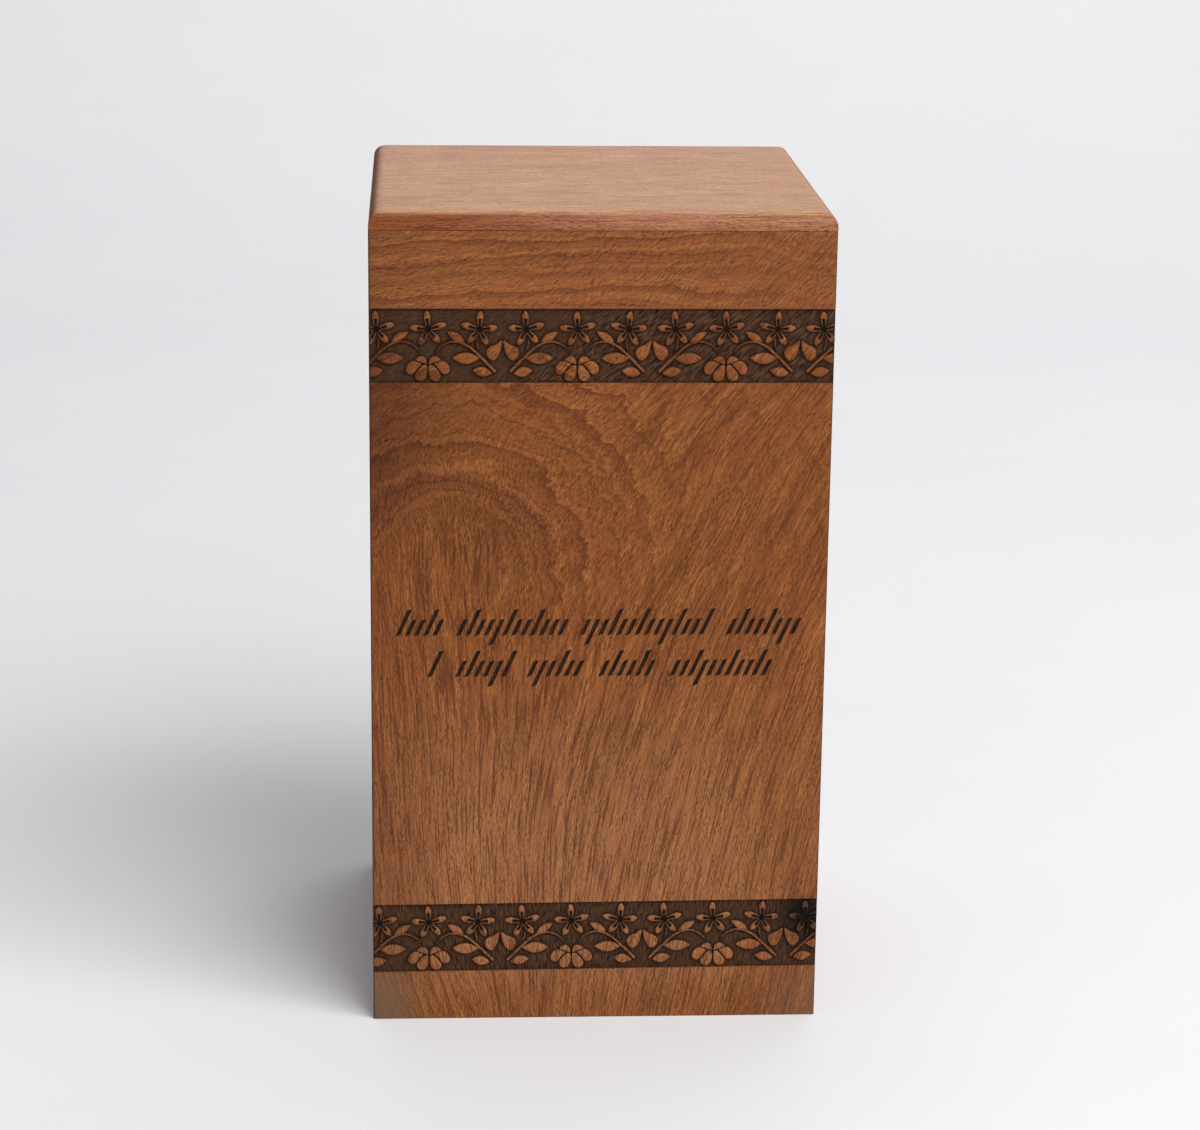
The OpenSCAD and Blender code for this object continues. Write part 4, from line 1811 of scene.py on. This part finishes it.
@dataclass(frozen=True)
class SeamlessPaper:
    """Seamless white paper. It gives the eye a matt, even ground with a faint fibre mottle."""

    name: str = "matt_white_paper"
    dark: str = "#DEDEE0"
    light: str = "#E3E3E4"
    # Clumps of fibre are about 25 mm apart.
    clumps_per_metre: float = 40.0
    octaves: float = 3.0
    roughness: float = 0.85
    ior: float = 1.45

    def build(self) -> bpy.types.Material:
        """Makes the material.

        Returns:
            The paper.
        """
        material = bpy.data.materials.new(self.name)
        material.use_nodes = True
        tree = material.node_tree
        tree.nodes.clear()
        add = partial(add_node, tree)
        mottle = add("TexNoise", "Fac", {"Scale": self.clumps_per_metre, "Detail": self.octaves})
        inputs = {FACTOR: mottle, COLOUR_A: linear(self.dark), COLOUR_B: linear(self.light)}
        paper = add("Mix", MIXED, inputs, **COLOUR)
        inputs = {"Base Color": paper, "Roughness": self.roughness, "IOR": self.ior}
        add("OutputMaterial", 0, {0: add("BsdfPrincipled", 0, inputs)})
        return material


@dataclass
class Studio:
    """Camera, pale floor and soft lights. Lengths in metres, angles in degrees."""

    aim: Place = (0.0, -0.0794, 0.169)
    distance: float = 1.132
    azimuth: float = -3.24
    elevation: float = 15.58
    roll: float = 0.7
    lens: float = 98.05
    sensor: float = 36.0
    clip_end: float = 20.0
    paper: SeamlessPaper = field(default_factory=SeamlessPaper)
    # The paper lies flat, curves up behind the box and ends high on the wall.
    paper_half: float = 5.0
    paper_front: float = -3.0
    paper_bend: float = 1.2
    bend_radius: float = 1.2
    paper_top: float = 4.5
    bend_start: float = 0.1
    bend_count: int = 12
    softboxes: tuple[SoftBox, ...] = (
        SoftBox("key_softbox", (1.1, -1.35, 1.95), (0.0, 0.0, 0.14), (2.2, 1.6), 69.0),
        SoftBox("fill_softbox", (0.5, -2.1, 0.75), (0.0, 0.0, 0.14), (1.2, 0.6), 7.0),
        SoftBox("backdrop_softbox", (0.4, 0.9, 2.4), (0.2, 2.8, 0.9), (1.6, 1.2), 21.0),
    )
    surround: str = "#F2F3F6"
    surround_strength: float = 0.38

    def camera(self) -> bpy.types.Object:
        """Sets the camera at its angle.

        Returns:
            The camera.
        """
        turn, tilt, roll = (math.radians(angle) for angle in (self.azimuth, self.elevation, self.roll))
        forward = Vector((-math.sin(turn) * math.cos(tilt), math.cos(turn) * math.cos(tilt), -math.sin(tilt)))
        level = Vector((math.cos(turn), math.sin(turn), 0.0))
        upright = level.cross(forward)
        across = math.cos(roll) * level + math.sin(roll) * upright
        up = -math.sin(roll) * level + math.cos(roll) * upright
        data = bpy.data.cameras.new("studio_camera")
        data.lens, data.sensor_width, data.clip_end = self.lens, self.sensor, self.clip_end
        data.dof.use_dof = False
        camera = bpy.data.objects.new("studio_camera", data)
        bpy.context.scene.collection.objects.link(camera)
        matrix = Matrix((across, up, -forward)).transposed().to_4x4()
        matrix.translation = Vector(self.aim) - forward * self.distance
        camera.matrix_world = matrix
        bpy.context.scene.camera = camera
        return camera

    def floor(self) -> bpy.types.Object:
        """Lays the pale floor, which curves up far behind the box.

        Returns:
            The floor.
        """
        bend, radius = self.paper_bend, self.bend_radius
        angles = np.linspace(self.bend_start, math.pi / 2, self.bend_count)
        profile = [(self.paper_front, 0.0), (bend, 0.0)]
        profile += [(bend + radius * math.sin(a), radius - radius * math.cos(a)) for a in angles]
        profile.append((bend + radius, self.paper_top))
        places = [(x, y, z) for y, z in profile for x in (-self.paper_half, self.paper_half)]
        faces = [(2 * i, 2 * i + 1, 2 * i + 3, 2 * i + 2) for i in range(len(profile) - 1)]
        mesh = bpy.data.meshes.new("studio_floor")
        mesh.from_pydata(places, [], faces)
        mesh.shade_smooth()
        mesh.materials.append(self.paper.build())
        floor = bpy.data.objects.new("studio_floor", mesh)
        bpy.context.scene.collection.objects.link(floor)
        return floor

    def lights(self) -> None:
        """Lights the box softly from the right front, with a fill, a lit backdrop and a pale surround."""
        for softbox in self.softboxes:
            softbox.hang()
        world = bpy.data.worlds.new("studio_surround")
        world.use_nodes = True
        back = world.node_tree.nodes["Background"]
        back.inputs["Color"].default_value = linear(self.surround)
        back.inputs["Strength"].default_value = self.surround_strength
        scene = bpy.context.scene
        scene.world = world
        scene.view_settings.view_transform = "Standard"
        scene.view_settings.look = "None"


def main() -> None:
    """Builds the box piece by piece and reports each one."""
    logging.basicConfig(level=logging.INFO, format="%(name)s: %(message)s")
    studio = Studio()
    studio.camera()
    studio.floor()
    studio.lights()
    # The carved front takes the stain as it is; the plainer boards differ from it a little.
    carved = MangoWood("stained_mango_carved").build()
    wall = MangoWood("stained_mango_walls", ring_strength=0.3).build()
    # The lid's pale colours are painted sheen: they stand in for the lacquer's grazing reflection on its top.
    top = MangoWood(
        "stained_mango_lid_painted_sheen", pale="#CBA283", body="#BC9070", deep="#A17657", darker_tint="#A9784A",
        pore="#5A3116", late="#66290A", roughness=0.5, specular=0.3, ring_strength=0.25,
    ).build()
    base = MangoWood(
        "stained_mango_base", pale="#8F6038", body="#7A4C2C", deep="#623B20", roughness=0.6
    ).build()
    pieces = [
        FrontBoard(carved),
        PlainBoard("back_board", "wall_wood", wall, Run.UP, seed=40.0),
        PlainBoard("left_board", "wall_wood", wall, Run.UP, seed=90.0),
        PlainBoard("right_board", "wall_wood", wall, Run.UP, seed=150.0),
        PlainBoard("base_board", "base_wood", base, Run.ACROSS, seed=210.0),
        Lid("lid", "lid_wood", top, Run.ACROSS, seed=260.0),
    ]
    for piece in pieces:
        made = piece.build()
        log.info("%s: %d vertices, %d faces", made.name, len(made.data.vertices), len(made.data.polygons))


if __name__ == "__main__":
    main()
